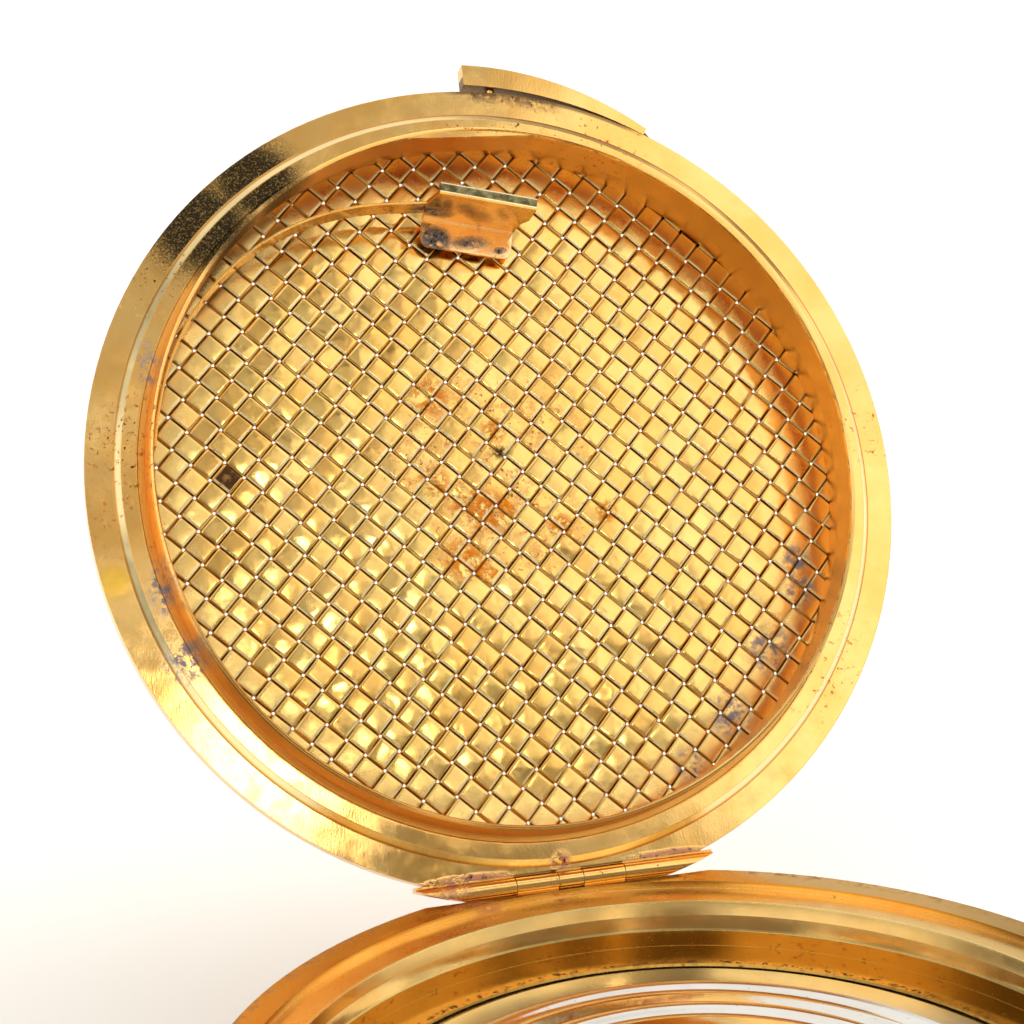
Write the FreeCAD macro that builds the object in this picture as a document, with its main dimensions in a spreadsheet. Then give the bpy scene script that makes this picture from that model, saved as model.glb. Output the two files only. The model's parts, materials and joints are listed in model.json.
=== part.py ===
"""Open-face pocket watch with a woven hinged back cover.

The watch lies dial side down.  +Z points out of its back, the pendant is at -Y,
the cover's hinge at +Y, and the origin is the centre of the crystal's outer face.
The cover is modelled shut and then turned to its open stop about the hinge pin.
"""
import math
import os

import FreeCAD
import Part
import Sketcher

doc = FreeCAD.newDocument("pocket_watch")

# ---------------------------------------------------------------- driving sizes
SIZES = {
    # case
    "case_radius": 24.1, "mating_height": 10.0, "rim_drop": 0.1, "seat_radius": 22.6,
    "seat_depth": 0.42, "recess_radius": 20.9, "recess_depth": 3.07, "ledge_radius": 18.57,
    "band_bottom": 1.7, "movement_radius": 18.9, "dial_seat_radius": 20.6,
    # bezel and crystal
    "bezel_height": 1.68, "bezel_inner_radius": 20.2, "bezel_face_radius": 21.6,
    "crystal_radius": 19.9, "crystal_thickness": 0.6,
    # dust cover under the woven cover
    "dome_radius": 18.5, "dome_edge_height": 6.55, "dome_rise": 0.7, "dome_band_radius": 16.1,
    # woven cover
    "cover_radius": 24.0, "cover_gap": 0.04, "step_outer_radius": 22.47, "step_inner_radius": 22.05,
    "step_height": 0.3, "lip_radius": 20.8, "lip_tip_radius": 20.62, "lip_bore_radius": 20.41,
    "lip_height": 2.28, "lip_flat_y": -20.04, "cover_bore_radius": 20.95, "weave_seat_height": 2.25,
    "weave_radius": 21.5, "cover_edge_height": 0.95, "cover_shoulder_radius": 22.3,
    "cover_height": 3.1, "retainer_radius": 21.9, "retainer_bore_radius": 20.7,
    "retainer_seat_height": 2.62,
    # weave
    "ribbon_pitch": 1.3718, "ribbon_width": 1.24, "ribbon_thickness": 0.1, "weave_height": 2.36,
    "weave_lift": 0.1, "weave_angle": 44.6, "weave_offset_x": -0.29, "weave_offset_y": -0.609,
    # hinge
    "hinge_y": 23.26, "hinge_height": 0.19, "barrel_radius": 0.5, "pin_radius": 0.22,
    "pin_clearance": 0.03, "hinge_half_length": 8.6, "knuckle_split": 3.13, "centre_knuckle": 0.73,
    "knuckle_shift": 0.13, "hinge_gap": 0.04, "hinge_notch": 0.6, "hinge_trim_radius": 24.46,
    "opening_angle": 117.7,
    # latch in the cover
    "spring_straight_x": -5.0, "spring_y": -16.72, "spring_arc_radius": 14.87,
    "spring_thickness": 0.16, "spring_bottom": -0.4, "spring_top": 1.0,
    "hook_left": -2.6, "hook_right": 2.9, "hook_y": -16.45, "hook_top": -2.35, "hook_bottom": 1.45,
    "hook_plate": 0.24, "hook_bar": 0.5, "foot_reach": 2.0, "hook_slant": 12.5,
    "strike_left": -1.4, "strike_right": 2.2, "strike_y": -19.15, "strike_thickness": 0.4,
    "strike_reach": 1.85, "strike_lip_bottom": 1.75, "strike_lip_top": 1.52,
    # thumb lever
    "lever_free_gap": 0.52, "lever_middle_gap": 0.3, "lever_end_gap": 0.08, "lever_middle_reach": 1.4,
    "lever_free_angle": -87.9, "lever_end_angle": -60.3,
    "lever_free_width": 1.3, "lever_end_width": 0.45, "lever_bottom": 0.15, "lever_top": 1.25,
    "lever_pivot_radius": 23.2, "lever_pivot_angle": -58.0, "lever_pin_radius": 0.25,
    "push_pin_x": 2.6, "push_pin_radius": 0.3, "push_pin_height": 0.7, "push_pin_start": -24.25,
    "push_pin_length": 3.36,
    # pendant, bow, crown
    "pendant_radius": 3.0, "pendant_bore_radius": 1.6, "pendant_end": 28.2, "stem_height": 4.3,
    "crown_radius": 3.2, "crown_start": 28.7, "crown_length": 3.6, "stem_radius": 0.6,
    "bow_wire_radius": 1.05, "bow_radius": 7.0, "bow_half_gap": 3.3,
    # movement
    "plate_radius": 18.4, "plate_bottom": 2.75, "plate_top": 3.35, "bridge_bottom": 5.1,
    "bridge_top": 5.9, "cock_bottom": 5.78, "cock_top": 6.3, "jewel_radius": 0.8,
    "pivot_radius": 0.16, "jewel_hole_radius": 0.2,
    "barrel_teeth": 78, "centre_pinion_teeth": 12, "barrel_module": 0.2,
    "centre_teeth": 80, "third_pinion_teeth": 10, "centre_module": 0.14,
    "third_teeth": 75, "fourth_pinion_teeth": 10, "third_module": 0.125,
    "fourth_teeth": 80, "escape_pinion_teeth": 8, "fourth_module": 0.11,
    "escape_teeth": 15, "escape_radius": 3.5, "cannon_teeth": 12, "minute_teeth": 36,
    "minute_pinion_teeth": 10, "hour_teeth": 40, "cannon_module": 0.12,
    "ratchet_teeth": 40, "crown_wheel_teeth": 38, "winding_pinion_teeth": 14, "winding_module": 0.2,
    "barrel_angle": 234.7, "fourth_distance": 9.5, "escape_angle": -20.0,
    "balance_x": 12.0, "balance_y": 4.5, "balance_radius": 5.0,
    # dial and hands
    "dial_radius": 20.4, "dial_bottom": 1.72, "dial_thickness": 0.33,
    "hour_hand_length": 9.2, "minute_hand_length": 15.6, "seconds_hand_length": 3.4,
}

sheet = doc.addObject("Spreadsheet::Sheet", "sizes")
for row, (word, number) in enumerate(SIZES.items(), start=1):
    sheet.set("A%d" % row, word)
    sheet.set("B%d" % row, str(number))
    sheet.setAlias("B%d" % row, word)
doc.recompute()


class Size:
    """A length that carries its value and its spreadsheet expression."""

    def __init__(self, value, text):
        self.value = value
        self.text = text

    def join(self, other, sign, value):
        text = other.text if isinstance(other, Size) else "%.6g" % other
        return Size(value, "(%s %s %s)" % (self.text, sign, text))

    def __add__(self, other):
        return self.join(other, "+", self.value + number_of(other))

    def __sub__(self, other):
        return self.join(other, "-", self.value - number_of(other))

    def __mul__(self, other):
        return self.join(other, "*", self.value * number_of(other))

    def __neg__(self):
        return Size(-self.value, "(0 - %s)" % self.text)


def number_of(item):
    return item.value if isinstance(item, Size) else float(item)


def size(word):
    return Size(float(sheet.get(word)), "sizes.%s" % word)


def plain(word):
    return float(sheet.get(word))


def bind(item, prop, amount):
    """Bind one property to its expression, or set a plain number."""
    if isinstance(amount, Size):
        item.setExpression(prop, amount.text)
    else:
        item.setExpression(prop, "%.6g" % amount)


# ---------------------------------------------------------------- building blocks
nodes = []


def node(item, label):
    item.Label = label
    nodes.append(item)
    return item


def place(item, x, y, z):
    bind(item, ".Placement.Base.x", x)
    bind(item, ".Placement.Base.y", y)
    bind(item, ".Placement.Base.z", z)


def cylinder(name, radius, height, x=0, y=0, z=0, axis=None):
    item = doc.addObject("Part::Cylinder", name)
    bind(item, "Radius", radius)
    bind(item, "Height", height)
    if axis is not None:
        turn = FreeCAD.Rotation(FreeCAD.Vector(0, 0, 1), FreeCAD.Vector(*axis))
        item.Placement = FreeCAD.Placement(FreeCAD.Vector(0, 0, 0), turn)
    place(item, x, y, z)
    return item


def box(name, low, high):
    item = doc.addObject("Part::Box", name)
    for prop, a, b in zip(("Length", "Width", "Height"), low, high):
        start = a if isinstance(a, Size) else Size(float(a), "%.6g" % a)
        end = b if isinstance(b, Size) else Size(float(b), "%.6g" % b)
        bind(item, prop, end - start)
    place(item, *low)
    return item


def fuse(name, items):
    item = doc.addObject("Part::MultiFuse", name)
    item.Shapes = items
    return item


def common(name, items):
    item = doc.addObject("Part::MultiCommon", name)
    item.Shapes = items
    return item


def cut(name, base, tools):
    item = doc.addObject("Part::Cut", name)
    item.Base = base
    item.Tool = tools[0] if len(tools) == 1 else fuse(name + "_tools", tools)
    return item


def group(name, items):
    item = doc.addObject("Part::Compound", name)
    item.Links = items
    return item


def feature(name, shape):
    item = doc.addObject("Part::Feature", name)
    item.Shape = shape
    return item


def add_segment(sketch, start, end, radius):
    """Add one edge; a signed radius makes an arc that turns left (+) or right (-)."""
    (x0, y0), (x1, y1) = start, end
    if radius is None:
        line = Part.LineSegment(FreeCAD.Vector(x0, y0, 0), FreeCAD.Vector(x1, y1, 0))
        return sketch.addGeometry(line, False), 1, 2
    reach = math.hypot(x1 - x0, y1 - y0)
    bend = math.sqrt(radius * radius - reach * reach / 4) * (1 if radius > 0 else -1)
    cx = (x0 + x1) / 2 - (y1 - y0) / reach * bend
    cy = (y0 + y1) / 2 + (x1 - x0) / reach * bend
    circle = Part.Circle(FreeCAD.Vector(cx, cy, 0), FreeCAD.Vector(0, 0, 1), abs(radius))
    first = math.atan2(y0 - cy, x0 - cx)
    last = math.atan2(y1 - cy, x1 - cx)
    if radius > 0:
        return sketch.addGeometry(Part.ArcOfCircle(circle, first, last), False), 1, 2
    return sketch.addGeometry(Part.ArcOfCircle(circle, last, first), False), 2, 1


def turned(label, corners):
    """A ring or disc turned about Z from (radius, height[, arc radius to the next corner])."""
    body = doc.addObject("PartDesign::Body", label)
    sketch = body.newObject("Sketcher::SketchObject", label + "_profile")
    plane = [item for item in body.Origin.OriginFeatures if item.Role == "XZ_Plane"][0]
    sketch.AttachmentSupport = [(plane, "")]
    sketch.MapMode = "FlatFace"
    spots = [(number_of(corner[0]), number_of(corner[1])) for corner in corners]
    edges = []
    for k, corner in enumerate(corners):
        bend = number_of(corner[2]) if len(corner) > 2 else None
        edges.append(add_segment(sketch, spots[k], spots[(k + 1) % len(spots)], bend))
    for k, corner in enumerate(corners):
        edge, start, end = edges[k]
        following, first, _ = edges[(k + 1) % len(edges)]
        sketch.addConstraint(Sketcher.Constraint("Coincident", edge, end, following, first))
        for kind, amount, here in (("DistanceX", corner[0], spots[k][0]),
                                   ("DistanceY", corner[1], spots[k][1])):
            spot = sketch.addConstraint(Sketcher.Constraint(kind, -1, 1, edge, start, here))
            if isinstance(amount, Size):
                sketch.setExpression("Constraints[%d]" % spot, amount.text)
        if len(corner) > 2:
            value = abs(number_of(corner[2]))
            sketch.addConstraint(Sketcher.Constraint("Radius", edge, value))
    revolution = body.newObject("PartDesign::Revolution", label + "_turned")
    revolution.Profile = sketch
    revolution.ReferenceAxis = (sketch, ["V_Axis"])
    revolution.Angle = 360.0
    return body


def polar(radius, degrees):
    angle = math.radians(degrees)
    return radius * math.cos(angle), radius * math.sin(angle)


def prism(points, bottom, top):
    """A straight-sided solid over a closed outline of (x, y) points."""
    corners = [FreeCAD.Vector(x, y, bottom) for x, y in points]
    face = Part.Face(Part.makePolygon(corners + corners[:1]))
    return face.extrude(FreeCAD.Vector(0, 0, top - bottom))


def drum(radius, bottom, top, x=0.0, y=0.0):
    centre = FreeCAD.Vector(x, y, bottom)
    return Part.makeCylinder(radius, top - bottom, centre, FreeCAD.Vector(0, 0, 1))


mate = size("mating_height")
rim = mate - size("rim_drop")
seat = rim - size("seat_depth")
floor = mate - size("recess_depth")
hinge_y = size("hinge_y")
hinge_z = mate + size("hinge_height")
notch = size("hinge_notch")
hinge_line = FreeCAD.Vector(0, hinge_y.value, hinge_z.value)
cover_opening = FreeCAD.Placement(
    FreeCAD.Vector(0, 0, 0),
    FreeCAD.Rotation(FreeCAD.Vector(1, 0, 0), -plain("opening_angle")),
    hinge_line)


def cover_node(item, label):
    """A piece of the cover, turned from shut to the open stop."""
    if item.TypeId == "Part::Cylinder":
        item = group(item.Name + "_placed", [item])
    item.Placement = cover_opening.multiply(item.Placement)
    return node(item, label)


# ---------------------------------------------------------------- case
stem_z = size("stem_height")
ring = turned("case_ring", [
    (size("recess_radius"), seat), (size("seat_radius"), seat), (size("seat_radius"), rim),
    (size("case_radius"), rim), (size("case_radius"), rim - 0.7, -14.0),
    (size("case_radius") - 0.1, size("band_bottom")),
    (size("dial_seat_radius"), size("band_bottom")), (size("dial_seat_radius"), 2.08),
    (size("movement_radius"), 2.08), (size("movement_radius"), floor - 0.57),
    (size("ledge_radius") - 0.35, floor - 0.57), (size("ledge_radius") - 0.35, floor - 0.43),
    (size("ledge_radius"), floor - 0.43), (size("ledge_radius"), floor),
    (size("recess_radius") - 0.15, floor), (size("recess_radius") - 0.15, mate - 2.18),
    (size("recess_radius"), mate - 1.35)])
stem_tunnel = cylinder("stem_tunnel", 1.2, 8.0, 0, -26.0, stem_z, axis=(0, 1, 0))
hinge_recess = box("case_hinge_recess",
                   (-(size("hinge_half_length") + 0.35), hinge_y - notch, hinge_z - notch),
                   (size("hinge_half_length") + 0.35, 26.0, 12.0))
case_band = node(cut("case_body", ring, [stem_tunnel, hinge_recess]), "case_band")

bezel = node(turned("bezel_ring", [
    (size("bezel_inner_radius"), 0), (size("bezel_face_radius"), 0),
    (size("case_radius") - 0.9, 0.45, 1.7), (size("case_radius") - 0.1, size("bezel_height")),
    (size("bezel_inner_radius") - 0.7, size("bezel_height")),
    (size("bezel_inner_radius") - 0.7, size("crystal_thickness") + 0.02),
    (size("bezel_inner_radius"), size("crystal_thickness") + 0.02)]), "bezel")
crystal = node(cylinder("crystal_disc", size("crystal_radius"), size("crystal_thickness")), "crystal")
node(turned("gasket_ring", [
    (size("crystal_radius"), 0.06), (size("bezel_inner_radius"), 0.06),
    (size("bezel_inner_radius"), size("crystal_thickness")),
    (size("crystal_radius"), size("crystal_thickness"))]), "crystal_gasket")

dome = size("dome_edge_height")
dome_rise = plain("dome_rise")
dome_sphere = (plain("dome_band_radius") ** 2 + dome_rise ** 2) / (2 * dome_rise)
dust_cover = node(turned("dust_cover_dome", [
    (0, dome + size("dome_rise") + 0.6, -dome_sphere), (size("dome_band_radius"), dome + 0.6),
    (size("dome_band_radius") + 0.15, dome + 0.5), (size("dome_radius") - 0.6, dome + 0.4),
    (size("dome_radius") - 0.05, dome + 0.15), (size("dome_radius") - 0.05, dome - 0.05),
    (size("dome_radius") - 0.6, dome - 0.05), (size("dome_band_radius"), dome + 0.25),
    (0, dome + 0.95)]), "dust_cover")

# strike: a post on the recess floor whose lip stands over the cover's hook
strike_y = size("strike_y")
strike_post = box("strike_post", (size("strike_left"), strike_y, floor),
                  (size("strike_right"), strike_y + size("strike_thickness"), mate - size("strike_lip_top")))
strike_lip = box("strike_lip", (size("strike_left"), strike_y + 0.35, mate - size("strike_lip_bottom")),
                 (size("strike_right"), strike_y + size("strike_reach"), mate - size("strike_lip_top")))
strike = node(fuse("strike_tab", [strike_post, strike_lip]), "catch_strike")

# ---------------------------------------------------------------- hinge
half_length = size("hinge_half_length")
split = size("knuckle_split")
middle = size("centre_knuckle")
shift = size("knuckle_shift")
gap = size("hinge_gap")
bore = size("pin_radius") + size("pin_clearance")


def knuckle(name, start, end, leaf_low, leaf_high):
    """A barrel length with the leaf block that joins it to its frame."""
    barrel = cylinder(name + "_barrel", size("barrel_radius"), end - start, start, hinge_y, hinge_z,
                      axis=(1, 0, 0))
    leaf = box(name + "_leaf", (start, hinge_y - notch, leaf_low), (end, hinge_y, leaf_high))
    hole = cylinder(name + "_hole", bore, end - start + 1.0, start - 0.5, hinge_y, hinge_z,
                    axis=(1, 0, 0))
    trim = cylinder(name + "_trim", size("hinge_trim_radius"), 10.0, 0, 0, 5.0)
    return common(name, [cut(name + "_bored", fuse(name + "_blank", [barrel, leaf]), [hole]), trim])


case_leaf = (hinge_z - notch, rim - 0.03)
cover_leaf = (hinge_z - 0.1, hinge_z + notch)
case_knuckles = [
    knuckle("case_knuckle_left", shift - split, shift - middle, *case_leaf),
    knuckle("case_knuckle_right", shift + middle, shift + split, *case_leaf)]
cover_knuckles = [
    knuckle("cover_knuckle_left", -half_length, shift - split - gap, *cover_leaf),
    knuckle("cover_knuckle_middle", shift - middle + gap, shift + middle - gap, *cover_leaf),
    knuckle("cover_knuckle_right", shift + split + gap, half_length, *cover_leaf)]
node(group("case_knuckles", case_knuckles), "case_hinge_knuckles")
cover_node(group("cover_knuckles", cover_knuckles), "cover_hinge_knuckles")
node(cylinder("hinge_wire", size("pin_radius"), half_length * 2 - 3.8, -half_length + 1.9, hinge_y,
              hinge_z, axis=(1, 0, 0)), "hinge_pin")

# ---------------------------------------------------------------- woven cover
cover_face = mate + size("cover_gap")
inner_face = cover_face - size("step_height")
weave_seat = mate + size("weave_seat_height")
retainer_seat = mate + size("retainer_seat_height")
cover_top = mate + size("cover_height")
cover_ring = turned("cover_ring", [
    (size("cover_radius"), cover_face), (size("cover_radius"), mate + size("cover_edge_height"), 2.2),
    (size("cover_shoulder_radius"), cover_top - 0.25), (size("retainer_radius"), cover_top - 0.1),
    (size("retainer_radius"), retainer_seat), (size("weave_radius") + 0.03, retainer_seat),
    (size("weave_radius") + 0.03, weave_seat), (size("cover_bore_radius"), weave_seat),
    (size("cover_bore_radius"), mate - 0.1), (size("step_inner_radius") - 0.9, mate - 0.1),
    (size("step_inner_radius") - 0.9, inner_face), (size("step_inner_radius"), inner_face),
    (size("step_outer_radius"), cover_face)])
cover_hinge_recess = box("cover_hinge_recess",
                         (-(half_length + 0.35), hinge_y - notch, hinge_z - 2.0),
                         (half_length + 0.35, 26.0, hinge_z + notch + 0.04))
cover_hinge_flat = box("cover_hinge_flat", (-10.0, hinge_y, mate - 1.0), (10.0, 26.0, mate + 4.0))
pivot_x, pivot_y = polar(plain("lever_pivot_radius"), plain("lever_pivot_angle"))
push_z = mate + size("push_pin_height")
push_bore = cylinder("push_bore", size("push_pin_radius") + 0.04, 5.0, size("push_pin_x"), -24.5,
                     push_z, axis=(0, 1, 0))
lever_bore = cylinder("lever_bore", size("lever_pin_radius"), 1.6, pivot_x, pivot_y, mate + 0.2)
pocket_points = [polar(24.6, -64.0), polar(24.6, -55.6), polar(22.5, -55.6), polar(22.5, -60.5)]
lever_pocket = feature("lever_pocket", prism(pocket_points, mate.value + 0.4, mate.value + 1.1))
cover_node(cut("cover_frame", cover_ring, [
    cover_hinge_recess, cover_hinge_flat, push_bore, lever_bore, lever_pocket]), "cover_rim")

lip_top = mate - 0.12
lip_ring = turned("lip_ring", [
    (size("lip_bore_radius"), mate - size("lip_height") + 0.08),
    (size("lip_bore_radius") + 0.08, mate - size("lip_height")),
    (size("lip_tip_radius"), mate - size("lip_height") + 0.03),
    (size("lip_radius"), inner_face - 0.5), (size("lip_radius"), inner_face),
    (size("step_inner_radius") - 0.93, inner_face), (size("step_inner_radius") - 0.93, lip_top),
    (size("lip_bore_radius"), lip_top)])
lip_disc = cylinder("lip_disc", size("lip_bore_radius") + 0.1, lip_top - mate + size("lip_height") - 0.1,
                    0, 0, mate - size("lip_height") + 0.1)
lip_beyond = box("lip_beyond", (-22.0, -22.0, 5.0), (22.0, size("lip_flat_y"), 12.0))
cover_node(fuse("lip_with_flat", [lip_ring, common("lip_flat", [lip_disc, lip_beyond])]), "cover_lip")
cover_node(turned("retainer_ring", [
    (size("retainer_bore_radius"), retainer_seat + 0.02),
    (size("retainer_radius") - 0.02, retainer_seat + 0.02),
    (size("retainer_radius") - 0.02, cover_top - 0.1), (size("retainer_radius") - 0.4, cover_top, -1.2),
    (size("retainer_bore_radius"), cover_top - 0.2)]), "weave_retainer")


def ribbons(direction, bottom, top):
    """Flat parallel ribbons whose ends follow the round groove of the cover."""
    pitch, width, reach = plain("ribbon_pitch"), plain("ribbon_width"), plain("weave_radius")
    angle = math.radians(direction)
    along = (math.cos(angle), math.sin(angle))
    across = (-along[1], along[0])
    start = plain("weave_offset_x") * across[0] + plain("weave_offset_y") * across[1] + pitch / 2
    count = int(reach / pitch) + 2
    groove = drum(reach - 0.02, bottom - 1.0, top + 1.0)
    solids = []
    for k in range(-count, count):
        middle_line = start + k * pitch
        if abs(middle_line) + width / 4 >= reach:
            continue
        corners = [(s * reach, middle_line + t * width / 2) for s, t in
                   ((-1, -1), (1, -1), (1, 1), (-1, 1))]
        points = [(a * along[0] + b * across[0], a * along[1] + b * across[1]) for a, b in corners]
        solids.append(prism(points, bottom, top).common(groove).Solids[0])
    return Part.makeCompound(solids)


weave_z = mate.value + plain("weave_height")
thick = plain("ribbon_thickness")
lift = plain("weave_lift")
cover_node(feature("warp", ribbons(plain("weave_angle"), weave_z - lift, weave_z - lift + thick)),
           "weave_warp")
cover_node(feature("weft", ribbons(plain("weave_angle") + 90, weave_z + lift - thick / 2,
                                   weave_z + lift + thick / 2)), "weave_weft")

# ---------------------------------------------------------------- latch in the cover


def latch_spring_shape():
    """Root along the cover wall, one long curve, then a straight end at the hook."""
    bottom, top = mate.value + plain("spring_bottom"), mate.value + plain("spring_top")
    half = plain("spring_thickness") / 2
    radius, y_end = plain("spring_arc_radius"), plain("spring_y")
    centre_x, centre_y = plain("spring_straight_x"), y_end + radius
    root = math.degrees(math.atan2(centre_y, centre_x))
    wall = radius + math.hypot(centre_x, centre_y)

    def arc_points(cx, cy, r, first, last):
        spots = [polar(r, first + (last - first) * t / 2) for t in range(3)]
        return [FreeCAD.Vector(cx + a, cy + b, bottom) for a, b in spots]

    hook_x = plain("hook_left") + 0.15
    first_root = root - 12.0
    edges = []
    for sign in (1, -1):
        a = arc_points(0.0, 0.0, wall + sign * half, first_root, root)
        b = arc_points(centre_x, centre_y, radius + sign * half, root, -90.0)
        end = FreeCAD.Vector(hook_x, y_end - sign * half, bottom)
        edges.append((a, b, end))
    (a1, b1, e1), (a2, b2, e2) = edges
    outline = [
        Part.Arc(*a1).toShape(), Part.Arc(*b1).toShape(), Part.makeLine(b1[2], e1),
        Part.makeLine(e1, e2), Part.makeLine(e2, b2[2]), Part.Arc(*b2[::-1]).toShape(),
        Part.Arc(*a2[::-1]).toShape(), Part.makeLine(a2[0], a1[0])]
    face = Part.Face(Part.Wire(outline))
    return face.extrude(FreeCAD.Vector(0, 0, top - bottom))


cover_node(feature("spring_strip", latch_spring_shape()), "latch_spring")


def hook_shape():
    """A bent plate: foot along the weave, upright, and the bar that catches."""
    left, right = plain("hook_left"), plain("hook_right")
    plate, reach = plain("hook_plate"), plain("foot_reach")
    bottom, top = plain("hook_bottom"), plain("hook_top")
    outline = [(left - 0.2, bottom), (right - 0.1, bottom), (right, 0.0), (right + 0.35, -0.7),
               (right + 0.35, top), (left, top), (left - 0.4, -0.6)]
    corners = [FreeCAD.Vector(a, -plate / 2, b) for a, b in outline]
    upright = Part.Face(Part.makePolygon(corners + corners[:1]))
    upright = upright.extrude(FreeCAD.Vector(0, plate, 0))
    bar = Part.makeBox(right + 0.35 - left, plain("hook_bar"), 0.42,
                       FreeCAD.Vector(left, -plate / 2 - plain("hook_bar"), top))
    foot = Part.makeBox(right - left + 0.1, reach, 0.2,
                        FreeCAD.Vector(left - 0.2, -plate / 2, bottom))
    upright_edges = [edge for edge in foot.Edges
                     if abs(edge.tangentAt(edge.FirstParameter).z) > 0.9
                     and edge.CenterOfMass.y > 0.5]
    foot = foot.makeFillet(0.55, upright_edges)
    shape = upright.fuse(bar).fuse(foot).removeSplitter()
    shape.rotate(FreeCAD.Vector(0, 0, 0), FreeCAD.Vector(0, 0, 1), plain("hook_slant"))
    shape.translate(FreeCAD.Vector(0.25, plain("hook_y") + 0.45, mate.value))
    return shape


cover_node(feature("hook", hook_shape()), "catch_hook")


def lever_shape():
    """A curved thumb bar outside the rim, with a tongue that turns on its pin."""
    first, last = plain("lever_free_angle"), plain("lever_end_angle")
    middle_angle = (first + last) / 2
    rim_radius = plain("cover_radius")
    wide, narrow = plain("lever_free_width"), plain("lever_end_width")
    bottom, top = mate.value + plain("lever_bottom"), mate.value + plain("lever_top")
    inner = [rim_radius + plain("lever_free_gap"), rim_radius + plain("lever_middle_gap"),
             rim_radius + plain("lever_end_gap")]
    outer = [inner[0] + wide, rim_radius + plain("lever_middle_reach"), inner[2] + narrow]

    def spots(radii):
        return [FreeCAD.Vector(*polar(r, a), bottom)
                for r, a in zip(radii, (first, middle_angle, last))]

    near, far = spots(inner), spots(outer)
    outline = [Part.Arc(*near).toShape(), Part.makeLine(near[2], far[2]),
               Part.Arc(*far[::-1]).toShape(), Part.makeLine(far[0], near[0])]
    thumb_bar = Part.Face(Part.Wire(outline)).extrude(FreeCAD.Vector(0, 0, top - bottom))
    tongue_points = [polar(24.25, -62.4), polar(24.45, -60.3), polar(24.0, -57.9),
                     polar(23.5, -56.6), polar(22.8, -56.9), polar(22.8, -59.2)]
    tongue = prism(tongue_points, mate.value + 0.45, mate.value + 1.05)
    hole = drum(plain("lever_pin_radius") + 0.03, mate.value, mate.value + 2.0, pivot_x, pivot_y)
    return thumb_bar.fuse(tongue).cut(hole).removeSplitter()


cover_node(feature("lever", lever_shape()), "thumb_lever")
cover_node(cylinder("lever_pin_rod", size("lever_pin_radius"), 1.5, pivot_x, pivot_y, mate + 0.22),
           "lever_pin")
cover_node(cylinder("push_rod", size("push_pin_radius"), size("push_pin_length"), size("push_pin_x"),
                    size("push_pin_start"), push_z, axis=(0, 1, 0)), "push_pin")

# ---------------------------------------------------------------- pendant, crown and bow
pendant_end = -size("pendant_end")
pendant_blank = cylinder("pendant_blank", size("pendant_radius"), 5.0, 0, pendant_end, stem_z,
                         axis=(0, 1, 0))
collar = cylinder("pendant_collar", size("pendant_radius") + 0.35, 0.8, 0, pendant_end + 0.9, stem_z,
                  axis=(0, 1, 0))
pendant_bore = cylinder("pendant_bore", size("pendant_bore_radius"), 8.0, 0, pendant_end - 0.5, stem_z,
                        axis=(0, 1, 0))
bow_bore = cylinder("bow_bore", 0.55, 10.0, -5.0, pendant_end + 1.3, stem_z, axis=(1, 0, 0))
node(cut("pendant_tube", fuse("pendant_solid", [pendant_blank, collar]),
         [pendant_bore, bow_bore, case_band, bezel]), "pendant")


def crown_shape():
    """A ribbed button with a domed end and a socket over the pendant."""
    radius, length = plain("crown_radius"), plain("crown_length")
    knob = Part.makeCylinder(radius, length)
    knob = knob.makeFillet(0.7, [edge for edge in knob.Edges if abs(edge.BoundBox.ZMin - length) < 1e-6
                                 and edge.BoundBox.ZMax - edge.BoundBox.ZMin < 1e-6])
    grooves = []
    for k in range(36):
        x, y = polar(radius + 0.12, k * 10.0)
        grooves.append(Part.makeCylinder(0.24, length * 0.72, FreeCAD.Vector(x, y, 0)))
    knob = knob.cut(Part.makeCompound(grooves))
    knob = knob.cut(Part.makeCylinder(plain("stem_radius"), 2.4))
    knob.rotate(FreeCAD.Vector(0, 0, 0), FreeCAD.Vector(1, 0, 0), 90)
    knob.translate(FreeCAD.Vector(0, -plain("crown_start"), plain("stem_height")))
    return knob


node(feature("crown_knob", crown_shape()), "crown")
stem_round = cylinder("stem_round", size("stem_radius"), 14.1, 0, -31.0, stem_z, axis=(0, 1, 0))
stem_square = box("stem_square", (-0.34, -17.0, stem_z - 0.34), (0.34, -14.4, stem_z + 0.34))
node(fuse("stem", [stem_round, stem_square]), "winding_stem")


def bow_shape():
    """A round wire bent to an open ring whose ends turn in to the pendant."""
    wire, radius = plain("bow_wire_radius"), plain("bow_radius")
    z, pivot = plain("stem_height"), -plain("pendant_end") + 1.3
    gap_half = plain("bow_half_gap") + 0.25
    centre_y = pivot - math.sqrt(radius ** 2 - (gap_half + wire) ** 2)
    start = math.degrees(math.atan2(pivot - centre_y, gap_half + wire))
    spots = [polar(radius, a) for a in (start, -90.0, 180.0 - start)]
    arc = Part.Arc(*[FreeCAD.Vector(a, centre_y + b, z) for a, b in spots]).toShape()
    tangent = arc.tangentAt(arc.FirstParameter)
    circle = Part.Circle(arc.valueAt(arc.FirstParameter), tangent, wire).toShape()
    ring_solid = Part.Wire([arc]).makePipeShell([Part.Wire([circle])], True, False)
    shape = ring_solid
    for side in (-1, 1):
        x = side * (gap_half + wire)
        shape = shape.fuse(Part.makeSphere(wire * 1.12, FreeCAD.Vector(x, pivot, z)))
        shape = shape.cut(Part.makeCylinder(0.5, 6.0, FreeCAD.Vector(x - 3.0, pivot, z),
                                            FreeCAD.Vector(1, 0, 0)))
    return shape


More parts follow.
